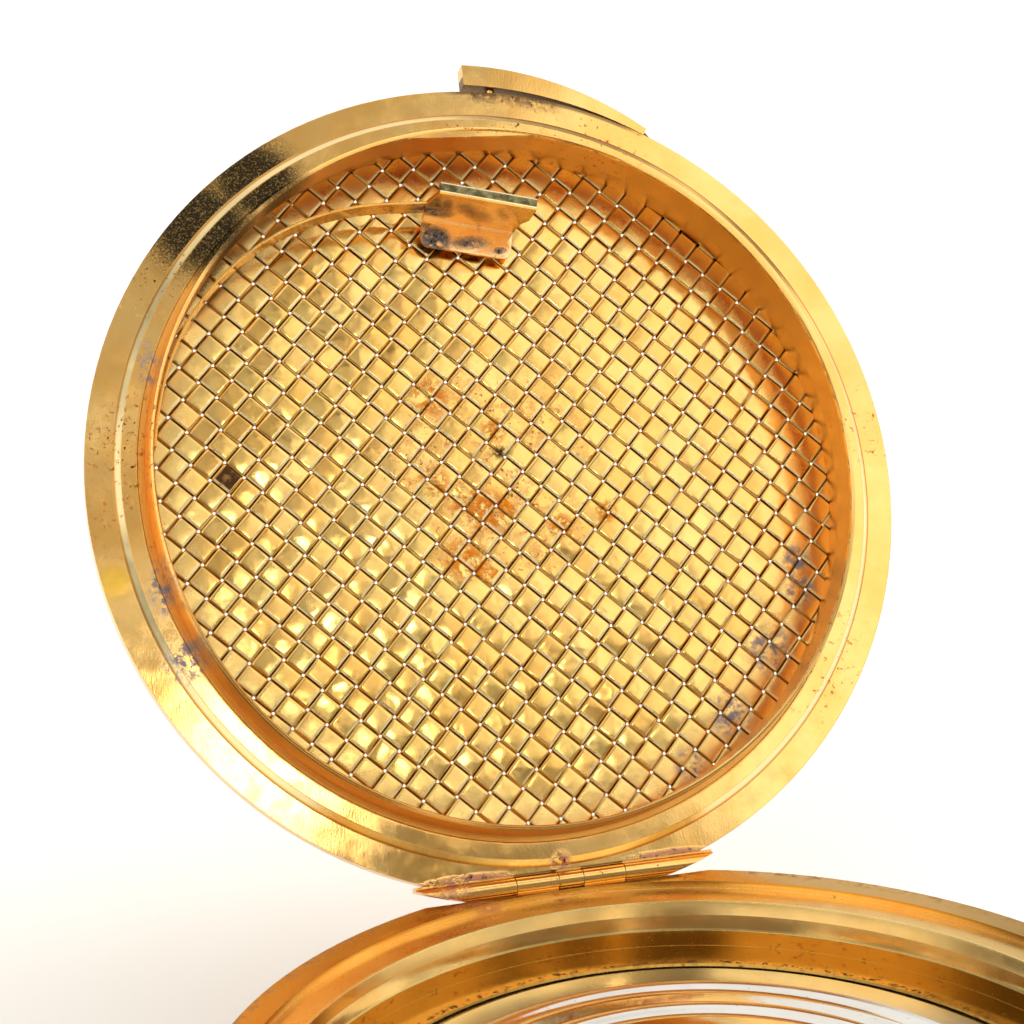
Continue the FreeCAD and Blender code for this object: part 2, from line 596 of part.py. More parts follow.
node(feature("bow_ring", bow_shape()), "bow")
bow_screws = [cylinder("bow_screw_%s" % side, 0.45, 4.2, sign * 1.75 if sign > 0 else -5.95,
                       pendant_end + 1.3, stem_z, axis=(1, 0, 0))
              for side, sign in (("left", -1), ("right", 1))]
node(group("bow_screw_pair", bow_screws), "bow_screws")

# ---------------------------------------------------------------- movement places
barrel_x, barrel_y = polar(
    plain("barrel_module") * (plain("barrel_teeth") + plain("centre_pinion_teeth")) / 2,
    plain("barrel_angle"))
third_reach = plain("centre_module") * (plain("centre_teeth") + plain("third_pinion_teeth")) / 2
fourth_reach = plain("third_module") * (plain("third_teeth") + plain("fourth_pinion_teeth")) / 2
fourth_x, fourth_y = 0.0, plain("fourth_distance")
third_y = (third_reach ** 2 - fourth_reach ** 2 + fourth_y ** 2) / (2 * fourth_y)
third_x = -math.sqrt(third_reach ** 2 - third_y ** 2)
escape_reach = plain("fourth_module") * (plain("fourth_teeth") + plain("escape_pinion_teeth")) / 2
dx, dy = polar(escape_reach, plain("escape_angle"))
escape_x, escape_y = fourth_x + dx, fourth_y + dy
balance_x, balance_y = plain("balance_x"), plain("balance_y")
to_balance = math.degrees(math.atan2(balance_y - escape_y, balance_x - escape_x))
dx, dy = polar(plain("escape_radius") + 0.75, to_balance)
pallet_x, pallet_y = escape_x + dx, escape_y + dy
winding_reach = plain("winding_module") * (plain("ratchet_teeth") + plain("crown_wheel_teeth")) / 2
CROWN_WHEEL_ANGLE = -48.4
dx, dy = polar(winding_reach, CROWN_WHEEL_ANGLE)
crown_wheel_x, crown_wheel_y = barrel_x + dx, barrel_y + dy
click_x, click_y = [a + b for a, b in zip((barrel_x, barrel_y), polar(5.6, 150.0))]
minute_reach = plain("cannon_module") * (plain("cannon_teeth") + plain("minute_teeth")) / 2
minute_x, minute_y = 0.0, -minute_reach
hour_module = 2 * minute_reach / (plain("hour_teeth") + plain("minute_pinion_teeth"))
plate_top, bridge_bottom = plain("plate_top"), plain("bridge_bottom")
bridge_top, cock_top = plain("bridge_top"), plain("cock_top")
pivot, jewel_hole = plain("pivot_radius"), plain("jewel_hole_radius")
TOOTH_SHARE = 0.36
# bottom and top of the thin parts that share a level
WINDING_LEVEL = (5.95, 6.12)
PALLET_LEVEL = (4.42, 4.62)
PALLET_COCK_LEVEL = (4.78, 5.02)
BARREL_TEETH_LEVEL = (3.5, 3.85)
BARREL_TOP = 4.6


def gear(teeth, module, bottom, top, x, y, facing, gap_facing=False, spokes=0, hub=0.0):
    """A toothed wheel with a tooth (or a gap) pointing along the angle facing."""
    teeth = int(teeth)
    pitch_radius = teeth * module / 2
    root, tip = pitch_radius - 1.05 * module, pitch_radius + 0.85 * module
    step = 360.0 / teeth
    shift = step / 2 if gap_facing else 0.0
    points = []
    for k in range(teeth):
        here = facing + shift + k * step
        for radius, share in ((root, -0.62), (pitch_radius, -0.5), (tip, -0.22),
                              (tip, 0.22), (pitch_radius, 0.5), (root, 0.62)):
            px, py = polar(radius, here + share * step * TOOTH_SHARE)
            points.append((x + px, y + py))
    wheel = prism(points, bottom, top)
    if not spokes:
        return wheel
    windows = []
    for k in range(spokes):
        start, end = k * 360.0 / spokes + 9, (k + 1) * 360.0 / spokes - 9
        ring_points = [polar(root - 3.2 * module, start + (end - start) * t / 6) for t in range(7)]
        ring_points += [polar(hub + 0.6, end - (end - start) * t / 3) for t in range(4)]
        windows.append(prism([(x + a, y + b) for a, b in ring_points], bottom - 1, top + 1))
    return wheel.cut(Part.makeCompound(windows))


def arbor(x, y, radius, bottom, top, pivot_bottom, pivot_top):
    """A shaft with a thin pivot at each end."""
    shaft = drum(radius, bottom, top, x, y)
    return shaft.fuse([drum(pivot, pivot_bottom, bottom, x, y), drum(pivot, top, pivot_top, x, y)])


def joined(*shapes):
    return shapes[0].fuse(list(shapes[1:])).removeSplitter()


def sector_block(inner, outer, first, last, bottom, top):
    """A foot that follows the plate's edge."""
    inner_spots = [FreeCAD.Vector(*polar(inner, first + (last - first) * t / 2), bottom) for t in range(3)]
    outer_spots = [FreeCAD.Vector(*polar(outer, first + (last - first) * t / 2), bottom) for t in range(3)]
    outline = [Part.Arc(*inner_spots).toShape(), Part.makeLine(inner_spots[2], outer_spots[2]),
               Part.Arc(*outer_spots[::-1]).toShape(), Part.makeLine(outer_spots[0], inner_spots[0])]
    return Part.Face(Part.Wire(outline)).extrude(FreeCAD.Vector(0, 0, top - bottom))


# ---------------------------------------------------------------- plates and bridges
jewel_out = plain("jewel_radius")
plate_holes = {"third": (third_x, third_y), "fourth": (fourth_x, fourth_y),
               "escape": (escape_x, escape_y), "pallet": (pallet_x, pallet_y),
               "balance": (balance_x, balance_y)}
plate_bores = [cylinder("plate_bore_" + word, size("jewel_radius"), 3.0, px, py, 1.5)
               for word, (px, py) in plate_holes.items()]
plate_bores.append(cylinder("plate_bore_centre", 0.62, 3.0, 0, 0, 1.5))
plate_bores.append(cylinder("plate_bore_barrel", 0.72, 3.0, barrel_x, barrel_y, 1.5))
plate_bores.append(cylinder("plate_bore_minute", 0.3, 3.0, minute_x, minute_y, 1.5))
plate_bores.append(box("plate_stem_slot", (-1.8, -19.0, 1.5), (1.8, -14.2, 4.0)))
plate_blank = cylinder("plate_blank", size("plate_radius"), size("plate_top") - size("plate_bottom"),
                       0, 0, size("plate_bottom"))
node(cut("plate", plate_blank, plate_bores), "mainplate")

bridge_screw_places = [polar(17.1, a) for a in (193.0, 300.0, 325.0, 90.0, 150.0, 348.0)]


def screw_hole(x, y, bottom, top):
    return drum(0.62, top - 0.5, top + 1, x, y).fuse(drum(0.4, bottom - 1, top + 1, x, y))


def half_disc(radius, side, bottom, top):
    """The part of a disc on one side of a line: -1 toward the pendant, +1 toward the hinge."""
    block = Part.makeBox(50, 25, top - bottom, FreeCAD.Vector(-25, 0 if side > 0 else -25, bottom))
    return drum(radius, bottom, top).common(block)


def barrel_bridge_shape():
    deck = half_disc(plain("plate_radius"), -1, bridge_bottom, bridge_top)
    deck.translate(FreeCAD.Vector(0, -1.4, 0))
    deck = deck.common(drum(plain("plate_radius"), bridge_bottom, bridge_top))
    feet = [sector_block(16.9, plain("plate_radius"), 184, 200, plate_top, bridge_bottom),
            sector_block(16.2, plain("plate_radius"), 292, 330, plate_top, bridge_bottom)]
    holes = [screw_hole(px, py, plate_top, bridge_top) for px, py in bridge_screw_places[:3]]
    pinion_slot = Part.makeBox(3.6, 2.1, 2.0, FreeCAD.Vector(-1.8, -18.9, bridge_bottom - 0.5))
    clutch_slot = Part.makeBox(3.0, 3.2, 1.0, FreeCAD.Vector(-1.5, -17.0, bridge_bottom - 0.45))
    holes += [drum(1.05, bridge_bottom - 1, bridge_top + 1, barrel_x, barrel_y), pinion_slot,
              clutch_slot, drum(0.31, bridge_bottom - 1, bridge_top + 1, click_x, click_y)]
    holes.append(Part.makeBox(8, 8, 5, FreeCAD.Vector(12.6, -6.0, bridge_bottom - 2)))
    return deck.fuse(feet).cut(Part.makeCompound(holes)).removeSplitter()


def train_bridge_shape():
    deck = half_disc(plain("plate_radius"), 1, bridge_bottom, bridge_top)
    deck.translate(FreeCAD.Vector(0, -1.0, 0))
    deck = deck.common(drum(plain("plate_radius"), bridge_bottom, bridge_top))
    feet = [sector_block(16.2, plain("plate_radius"), 80, 100, plate_top, bridge_bottom),
            sector_block(16.2, plain("plate_radius"), 140, 162, plate_top, bridge_bottom)]
    clear = drum(plain("balance_radius") + 0.35, bridge_bottom - 1, bridge_top + 1, balance_x, balance_y)
    beyond = Part.makeBox(20, 20, 3, FreeCAD.Vector(balance_x - 4.0, -8.0, bridge_bottom - 1))
    holes = [screw_hole(px, py, plate_top, bridge_top) for px, py in bridge_screw_places[3:5]]
    for word in ("third", "fourth", "escape"):
        px, py = plate_holes[word]
        holes.append(drum(jewel_out, bridge_bottom - 1, bridge_top + 1, px, py))
    holes.append(drum(jewel_out, bridge_bottom - 1, bridge_top + 1))
    return deck.fuse(feet).cut(Part.makeCompound([clear, beyond] + holes)).removeSplitter()


node(feature("barrel_bridge_plate", barrel_bridge_shape()), "barrel_bridge")
node(feature("train_bridge_plate", train_bridge_shape()), "train_bridge")

cock_foot_x, cock_foot_y = bridge_screw_places[5]


def arm(x0, y0, x1, y1, width, bottom, top):
    length = math.hypot(x1 - x0, y1 - y0)
    block = Part.makeBox(length, width, top - bottom, FreeCAD.Vector(0, -width / 2, 0))
    block.rotate(FreeCAD.Vector(0, 0, 0), FreeCAD.Vector(0, 0, 1), math.degrees(math.atan2(y1 - y0, x1 - x0)))
    block.translate(FreeCAD.Vector(x0, y0, bottom))
    return block


def balance_cock_shape():
    bottom = plain("cock_bottom")
    beam = arm(cock_foot_x, cock_foot_y, balance_x, balance_y, 2.4, bottom, cock_top)
    head = drum(1.5, bottom, cock_top, balance_x, balance_y)
    foot = drum(1.35, plate_top, bottom, cock_foot_x, cock_foot_y)
    cap = drum(1.35, bottom, cock_top, cock_foot_x, cock_foot_y)
    holes = [screw_hole(cock_foot_x, cock_foot_y, plate_top, cock_top),
             drum(jewel_out, bottom - 1, cock_top + 1, balance_x, balance_y)]
    return joined(beam, head, foot, cap).cut(Part.makeCompound(holes)).removeSplitter()


def pallet_cock_shape():
    away_x, away_y = polar(3.0, to_balance + 90)
    foot_x, foot_y = pallet_x + away_x, pallet_y + away_y
    beam = arm(foot_x, foot_y, pallet_x, pallet_y, 1.6, *PALLET_COCK_LEVEL)
    foot = drum(0.9, plate_top, PALLET_COCK_LEVEL[1], foot_x, foot_y)
    head = drum(1.1, *PALLET_COCK_LEVEL, pallet_x, pallet_y)
    holes = [drum(0.6, 4, 6, pallet_x, pallet_y), screw_hole(foot_x, foot_y, plate_top, PALLET_COCK_LEVEL[1])]
    return joined(beam, foot, head).cut(Part.makeCompound(holes)).removeSplitter(), (foot_x, foot_y)


node(feature("balance_cock_plate", balance_cock_shape()), "balance_cock")
pallet_cock_solid, pallet_foot = pallet_cock_shape()
node(feature("pallet_cock_plate", pallet_cock_solid), "pallet_cock")


def jewel(x, y, bottom, top, radius=None):
    outer = (radius or jewel_out) - 0.01
    return drum(outer, bottom, top, x, y).cut(drum(jewel_hole, bottom - 1, top + 1, x, y))


jewel_set = [jewel(px, py, plain("plate_bottom") + 0.2, plate_top) for px, py in plate_holes.values()]
jewel_set += [jewel(*plate_holes[word], bridge_bottom, bridge_bottom + 0.6)
              for word in ("third", "fourth", "escape")]
jewel_set.append(jewel(0, 0, bridge_bottom, bridge_bottom + 0.6))
jewel_set.append(jewel(balance_x, balance_y, plain("cock_bottom"), cock_top - 0.05))
jewel_set.append(jewel(pallet_x, pallet_y, 4.8, 5.0, 0.6))
node(feature("jewel_rings", Part.makeCompound(jewel_set)), "jewels")


def screw(x, y, head_top, length, head=0.58, shank=0.36):
    body = drum(head, head_top - 0.45, head_top, x, y)
    body = body.fuse(drum(shank, head_top - length, head_top - 0.45, x, y))
    return body.cut(Part.makeBox(2 * head, 0.16, 0.16, FreeCAD.Vector(x - head, y - 0.08, head_top - 0.14)))


screws = [screw(px, py, bridge_top - 0.03, 2.3) for px, py in bridge_screw_places[:5]]
screws.append(screw(cock_foot_x, cock_foot_y, cock_top - 0.03, 2.7))
screws.append(screw(pallet_foot[0], pallet_foot[1], 5.0, 1.5))
node(feature("screw_set", Part.makeCompound(screws)), "bridge_screws")

# ---------------------------------------------------------------- barrel and winding work
to_centre = plain("barrel_angle") - 180.0
drum_radius = plain("barrel_module") * plain("barrel_teeth") / 2 - 0.5


def barrel_shape():
    rim_gear = gear(plain("barrel_teeth"), plain("barrel_module"), *BARREL_TEETH_LEVEL,
                    barrel_x, barrel_y, to_centre)
    wall = drum(drum_radius, BARREL_TEETH_LEVEL[1], BARREL_TOP, barrel_x, barrel_y)
    hollow = drum(drum_radius - 0.35, 3.7, BARREL_TOP, barrel_x, barrel_y)
    bore_hole = drum(0.75, 3.0, 5.0, barrel_x, barrel_y)
    return rim_gear.fuse(wall).cut(Part.makeCompound([hollow, bore_hole]).removeSplitter())


def spiral(x, y, start, end, turns, thickness, bottom, top, phase=0.0):
    """A flat spring: a ribbon wound in a spiral, standing on edge."""
    steps = int(turns * 16)
    sides = []
    for offset in (-thickness / 2, thickness / 2):
        line = []
        for k in range(steps + 1):
            radius = start + (end - start) * k / steps + offset
            px, py = polar(radius, phase + 360.0 * turns * k / steps)
            line.append(FreeCAD.Vector(x + px, y + py, bottom))
        curve = Part.BSplineCurve()
        curve.interpolate(line)
        sides.append((curve.toShape(), line))
    (inner, a), (outer, b) = sides
    wire = Part.Wire([inner, Part.makeLine(a[-1], b[-1]), outer, Part.makeLine(b[0], a[0])])
    return Part.Face(wire).extrude(FreeCAD.Vector(0, 0, top - bottom))


node(feature("barrel_drum", barrel_shape()), "mainspring_barrel")
node(feature("barrel_lid", drum(drum_radius, BARREL_TOP + 0.01, BARREL_TOP + 0.12, barrel_x, barrel_y).cut(
    drum(0.75, 4, 5, barrel_x, barrel_y))), "barrel_cover")
node(feature("mainspring_coil", spiral(barrel_x, barrel_y, 2.0, drum_radius - 0.55, 7, 0.12, 3.78, 4.52)),
     "mainspring")
arbor_core = joined(drum(0.7, plain("plate_bottom") + 0.05, 5.95, barrel_x, barrel_y),
                    drum(1.6, 3.9, 4.5, barrel_x, barrel_y))
square = Part.makeBox(0.9, 0.9, 0.3, FreeCAD.Vector(barrel_x - 0.45, barrel_y - 0.45, 5.9))
node(feature("arbor_barrel", arbor_core.fuse(square)), "barrel_arbor")
ratchet = gear(plain("ratchet_teeth"), plain("winding_module"), *WINDING_LEVEL, barrel_x, barrel_y,
               CROWN_WHEEL_ANGLE)
square_hole = Part.makeBox(0.94, 0.94, 1.0, FreeCAD.Vector(barrel_x - 0.47, barrel_y - 0.47, 5.5))
node(feature("ratchet_gear", ratchet.cut(square_hole)), "ratchet_wheel")
ratchet_screw_solid = drum(1.1, 6.22, 6.38, barrel_x, barrel_y).cut(
    Part.makeBox(2.4, 0.2, 0.1, FreeCAD.Vector(barrel_x - 1.2, barrel_y - 0.1, 6.3)))
node(feature("ratchet_fastener", ratchet_screw_solid), "ratchet_screw")
crown_gear = gear(plain("crown_wheel_teeth"), plain("winding_module"), *WINDING_LEVEL, crown_wheel_x,
                  crown_wheel_y, CROWN_WHEEL_ANGLE + 180.0, gap_facing=True)
node(feature("crown_gear", crown_gear.cut(drum(0.8, 5, 7, crown_wheel_x, crown_wheel_y))), "crown_wheel")
core = drum(0.75, 5.9, 6.16, crown_wheel_x, crown_wheel_y).fuse(
    drum(1.2, 6.16, 6.3, crown_wheel_x, crown_wheel_y))
node(feature("crown_wheel_hub", core.cut(Part.makeBox(
    2.6, 0.2, 0.1, FreeCAD.Vector(crown_wheel_x - 1.3, crown_wheel_y - 0.1, 6.22)))), "crown_wheel_core")


def pinion_on_stem(teeth, module, y_start, length, hole):
    """A small gear along Y on the winding stem."""
    solid = gear(teeth, module, 0, length, 0, 0, 0).cut(hole)
    solid.rotate(FreeCAD.Vector(0, 0, 0), FreeCAD.Vector(1, 0, 0), 90)
    solid.translate(FreeCAD.Vector(0, y_start + length, plain("stem_height")))
    return solid


round_hole = drum(plain("stem_radius") + 0.04, -1, 5)
slide_hole = Part.makeBox(0.74, 0.74, 6, FreeCAD.Vector(-0.37, -0.37, -1))
node(feature("winding_gear", pinion_on_stem(
    plain("winding_pinion_teeth"), plain("winding_module"), -18.2, 1.25, round_hole)), "winding_pinion")
node(feature("clutch_gear", pinion_on_stem(
    10, plain("winding_module"), -16.6, 1.7, slide_hole)), "clutch_wheel")

click_body = joined(drum(0.75, *WINDING_LEVEL, click_x, click_y),
                    arm(click_x, click_y, *[c + d for c, d in zip(
                        (barrel_x, barrel_y), polar(4.55, 172.0))], 0.5, *WINDING_LEVEL))
node(feature("click_pawl", click_body.cut(drum(0.34, 5, 7, click_x, click_y))), "click")
click_stud = joined(drum(0.3, 5.5, 6.2, click_x, click_y), drum(0.55, 6.16, 6.3, click_x, click_y))
node(feature("click_stud", click_stud), "click_screw")

# ---------------------------------------------------------------- train
to_third = math.degrees(math.atan2(third_y, third_x))
third_to_fourth = math.degrees(math.atan2(fourth_y - third_y, fourth_x - third_x))


def train_wheel(label, x, y, wheel, pinion, levels):
    """A wheel and its pinion on one arbor, in mesh at rest."""
    (wheel_teeth, wheel_module, wheel_low, wheel_high, wheel_facing) = wheel
    (leaves, leaf_module, leaf_low, leaf_high, leaf_facing) = pinion
    disc = gear(wheel_teeth, wheel_module, wheel_low, wheel_high, x, y, wheel_facing, spokes=5, hub=0.9)
    leaf_gear = gear(leaves, leaf_module, leaf_low, leaf_high, x, y, leaf_facing, gap_facing=True)
    low, high, pivot_low, pivot_high = levels
    shaft = arbor(x, y, min(0.34, leaves * leaf_module / 2 - 1.3 * leaf_module), low, high, pivot_low,
                  pivot_high)
    return node(feature(label + "_assembly", joined(disc, leaf_gear, shaft)), label)


centre_solid = joined(
    gear(plain("centre_teeth"), plain("centre_module"), 4.8, 5.0, 0, 0, to_third, spokes=5, hub=0.9),
    gear(plain("centre_pinion_teeth"), plain("barrel_module"), 3.45, 3.95, 0, 0,
         plain("barrel_angle"), gap_facing=True),
    drum(0.55, plate_top - 0.6, 5.05), drum(0.42, 2.0, 3.0), drum(pivot, 5.0, 5.65))
node(feature("centre_wheel_assembly", centre_solid), "centre_wheel")
train_wheel("third_wheel", third_x, third_y,
            (plain("third_teeth"), plain("third_module"), 4.15, 4.35, third_to_fourth),
            (plain("third_pinion_teeth"), plain("centre_module"), 4.65, 5.04, to_third + 180),
            (3.4, 5.05, 3.0, 5.65))
train_wheel("fourth_wheel", fourth_x, fourth_y,
            (plain("fourth_teeth"), plain("fourth_module"), 3.6, 3.8, plain("escape_angle")),
            (plain("fourth_pinion_teeth"), plain("third_module"), 4.05, 4.45, third_to_fourth + 180),
            (3.4, 5.05, 1.3, 5.65))


def escape_shape():
    """Fifteen raked club teeth on a light wheel, with its pinion."""
    points = []
    teeth = int(plain("escape_teeth"))
    for k in range(teeth):
        here = k * 360.0 / teeth
        for radius, turn in ((plain("escape_radius"), 0), (plain("escape_radius") - 0.12, 3.2),
                             (plain("escape_radius") - 1.0, 5.0), (plain("escape_radius") - 1.0, 18.0)):
            px, py = polar(radius, here + turn)
            points.append((escape_x + px, escape_y + py))
    pinion = gear(plain("escape_pinion_teeth"), plain("fourth_module"), 3.5, 3.95, escape_x, escape_y,
                  plain("escape_angle") + 180, gap_facing=True)
    return joined(prism(points, 4.45, 4.6), pinion, arbor(escape_x, escape_y, 0.28, 3.4, 5.05, 3.0, 5.65))


node(feature("escape_wheel_assembly", escape_shape()), "escape_wheel")


def pallet_shape():
    """An anchor over the escape wheel and a lever that reaches the roller."""
    away = to_balance + 180
    spots = [polar(1.5, away + a) for a in (75, -75)]
    arms = [arm(pallet_x, pallet_y, pallet_x + a, pallet_y + b, 0.4, *PALLET_LEVEL) for a, b in spots]
    reach = math.hypot(balance_x - pallet_x, balance_y - pallet_y) - 0.75
    fork_x, fork_y = polar(reach, to_balance)
    fork = arm(pallet_x, pallet_y, pallet_x + fork_x, pallet_y + fork_y, 0.4, *PALLET_LEVEL)
    return joined(fork, *arms, arbor(pallet_x, pallet_y, 0.3, 3.4, 4.76, 3.0, 4.95))


node(feature("pallet_assembly", pallet_shape()), "pallet_fork")


def balance_shape():
    radius = plain("balance_radius")
    rim_ring = drum(radius, 5.2, 5.55, balance_x, balance_y).cut(
        drum(radius - 0.5, 5, 6, balance_x, balance_y))
    arms = arm(balance_x - radius + 0.3, balance_y, balance_x + radius - 0.3, balance_y, 0.5, 5.25, 5.5)
    staff = joined(drum(0.32, 3.4, 5.72, balance_x, balance_y), drum(pivot, 3.0, 6.2, balance_x, balance_y),
                   drum(0.6, 4.2, 4.35, balance_x, balance_y))
    weights = [drum(0.14, 5.3, 5.45, 0, 0) for _ in range(12)]
    for k, weight in enumerate(weights):
        px, py = polar(radius + 0.05, k * 30.0 + 15.0)
        weight.translate(FreeCAD.Vector(balance_x + px, balance_y + py, 0))
    return joined(rim_ring, arms, staff, *weights)


node(feature("balance_assembly", balance_shape()), "balance_wheel")
node(feature("hairspring_coil", spiral(balance_x, balance_y, 0.75, 2.9, 6, 0.05, 5.58, 5.68)), "hairspring")

# ---------------------------------------------------------------- motion work, dial and hands
cannon = joined(gear(plain("cannon_teeth"), plain("cannon_module"), 2.3, 2.65, 0, 0, -90.0,
                     gap_facing=True), drum(0.56, 0.95, 2.3))
node(feature("cannon", cannon.cut(drum(0.46, 1.5, 3.0))), "cannon_pinion")
minute_gear = joined(
    gear(plain("minute_teeth"), plain("cannon_module"), 2.5, 2.65, minute_x, minute_y, 90.0),
    gear(plain("minute_pinion_teeth"), hour_module, 2.14, 2.5, minute_x, minute_y, 90.0,
         gap_facing=True), drum(0.24, 2.12, 3.1, minute_x, minute_y))
node(feature("minute_gear", minute_gear), "minute_wheel")
hour_gear = joined(gear(plain("hour_teeth"), hour_module, 2.14, 2.28, 0, 0, -90.0), drum(0.9, 1.25, 2.14))
node(feature("hour_gear", hour_gear.cut(drum(0.62, 1, 3))), "hour_wheel")

dial_holes = [cylinder("dial_centre_hole", 1.0, 1.0, 0, 0, 1.4),
              cylinder("dial_seconds_hole", 0.4, 1.0, fourth_x, fourth_y, 1.4)]
dial_sink = cylinder("dial_seconds_sink", 4.2, 0.1, fourth_x, fourth_y, size("dial_bottom") - 0.02)
dial_blank = cylinder("dial_blank", size("dial_radius"), size("dial_thickness"), 0, 0, size("dial_bottom"))
node(cut("dial_plate", dial_blank, dial_holes + [dial_sink]), "dial")


def marker_set():
    """Raised batons at the hours, missing where the seconds dial is."""
    batons = []
    for k in range(12):
        if k == 6:
            continue
        length = 3.0 if k % 3 == 0 else 2.2
        baton = Part.makeBox(length, 0.5, 0.1, FreeCAD.Vector(16.4, -0.25, plain("dial_bottom") - 0.1))
        baton.rotate(FreeCAD.Vector(0, 0, 0), FreeCAD.Vector(0, 0, 1), -90.0 + 30.0 * k)
        batons.append(baton)
    return Part.makeCompound(batons)


node(feature("hour_batons", marker_set()), "hour_markers")


def hand(length, width, tail, hub_radius, hole_radius, bottom, top, x=0.0, y=0.0, direction=-90.0):
    outline = [(-tail, -width * 0.3), (0, -width / 2), (length * 0.6, -width / 2), (length, 0),
               (length * 0.6, width / 2), (0, width / 2), (-tail, width * 0.3)]
    blade = prism(outline, bottom, top)
    blade = blade.fuse(drum(hub_radius, bottom, top)).cut(drum(hole_radius, bottom - 1, top + 1))
    blade.rotate(FreeCAD.Vector(0, 0, 0), FreeCAD.Vector(0, 0, 1), direction)
    blade.translate(FreeCAD.Vector(x, y, 0))
    return blade.removeSplitter()


node(feature("hour_blade", hand(plain("hour_hand_length"), 1.3, 2.0, 1.25, 0.9, 1.27, 1.4,
                                direction=150.0)), "hour_hand")
node(feature("minute_blade", hand(plain("minute_hand_length"), 1.0, 2.6, 0.95, 0.57, 0.97, 1.09,
                                  direction=30.0)), "minute_hand")
node(feature("seconds_blade", hand(plain("seconds_hand_length"), 0.4, 1.3, 0.42, 0.165, 1.5, 1.6, fourth_x,
                                   fourth_y, direction=200.0)), "seconds_hand")

# ---------------------------------------------------------------- check and write
doc.recompute()
for item in doc.Objects:
    if "Invalid" in item.State or "Error" in item.State:
        raise RuntimeError("%s did not compute: %s" % (item.Name, item.State))
os.makedirs("parts", exist_ok=True)
for item in nodes:
    shape = item.Shape
    if shape.isNull() or not shape.isValid() or not shape.Solids:
        raise RuntimeError("%s has no valid solid" % item.Label)
    shape.exportStep("parts/%s.step" % item.Label)
    print("%-22s solids %3d volume %9.3f" % (item.Label, len(shape.Solids), shape.Volume))
print("nodes", len(nodes))
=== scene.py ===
import json
import math
import random

import bmesh
import bpy
from mathutils import Matrix, Vector


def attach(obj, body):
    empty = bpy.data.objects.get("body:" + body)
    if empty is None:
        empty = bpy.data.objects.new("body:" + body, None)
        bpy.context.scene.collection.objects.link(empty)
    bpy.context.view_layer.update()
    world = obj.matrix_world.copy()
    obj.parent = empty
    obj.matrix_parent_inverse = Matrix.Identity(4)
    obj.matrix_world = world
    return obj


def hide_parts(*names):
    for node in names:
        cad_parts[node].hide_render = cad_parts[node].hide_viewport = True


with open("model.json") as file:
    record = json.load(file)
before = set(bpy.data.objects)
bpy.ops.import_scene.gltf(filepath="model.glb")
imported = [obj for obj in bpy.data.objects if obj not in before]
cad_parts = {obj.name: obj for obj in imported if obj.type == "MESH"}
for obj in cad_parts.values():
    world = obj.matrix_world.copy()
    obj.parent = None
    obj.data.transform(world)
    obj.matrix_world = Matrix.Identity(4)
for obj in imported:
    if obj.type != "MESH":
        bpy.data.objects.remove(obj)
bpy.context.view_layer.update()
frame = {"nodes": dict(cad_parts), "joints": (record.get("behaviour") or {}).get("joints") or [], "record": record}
scene = bpy.context.scene
MM = 0.001

# ---------------------------------------------------------------- places, in millimetres
joints = {joint["name"]: joint for joint in frame["joints"]}
hinge = Vector(joints["cover_hinge"]["pos_m"]) / MM
opening = math.radians(joints["cover_hinge"]["range_deg"][1])
opened = (Matrix.Translation(hinge) @ Matrix.Rotation(-opening, 4, "X") @ Matrix.Translation(-hinge))

# Heights and radii of the closed watch, for the masks of the materials.
FACE = 10.0             # where the cover meets the case
WEAVE_FACE = FACE + 2.3
WEAVE_HEIGHT = FACE + 2.36
HOOK_FOOT = 11.45       # the foot plate of the catch
HOOK_FOLD = 11.38       # the fold between its upright and its foot
WALL_RADIUS = 21.2      # the cover's inner wall lies inside this
STEP_RADIUS = 22.26     # raised step on the cover's face
STEP_SLOPE = 22.2       # its inner slope, which carries a painted highlight
STEP_CREASE = 22.43     # the crease at its outer edge
RECESS_RADIUS = 20.95   # the wall of the case's recess lies inside this

# ---------------------------------------------------------------- camera
CAMERA_PLACE = (-34.02, -77.44, 56.94)
CAMERA_AHEAD = (0.2838, 0.9325, -0.2233)
CAMERA_RIGHT = (0.9562, -0.2927, -0.0072)
CAMERA_SENSOR = 36.0
CAMERA_LENS = 72.75
CAMERA_SHIFT = (0.0061, -0.0281)


def add_camera():
    back = -Vector(CAMERA_AHEAD).normalized()
    up = back.cross(Vector(CAMERA_RIGHT)).normalized()
    right = up.cross(back)
    camera = bpy.data.objects.new("camera", bpy.data.cameras.new("camera"))
    camera.matrix_world = Matrix((right, up, back)).transposed().to_4x4()
    camera.location = Vector(CAMERA_PLACE) * MM
    camera.data.sensor_width = CAMERA_SENSOR
    camera.data.lens = CAMERA_LENS
    camera.data.shift_x, camera.data.shift_y = CAMERA_SHIFT
    camera.data.clip_start = 0.001
    camera.data.clip_end = 50.0
    scene.collection.objects.link(camera)
    scene.camera = camera


add_camera()
scene.view_settings.view_transform = "Standard"


# ---------------------------------------------------------------- node materials
def add_node(tree, kind, inputs, settings):
    """A new node. Each input is a value, or a socket to link from."""
    made = tree.nodes.new(kind)
    for word, value in settings.items():
        setattr(made, word, value)
    for word, value in inputs.items():
        if isinstance(value, bpy.types.NodeSocket):
            tree.links.new(value, made.inputs[word])
        else:
            made.inputs[word].default_value = value
    return made


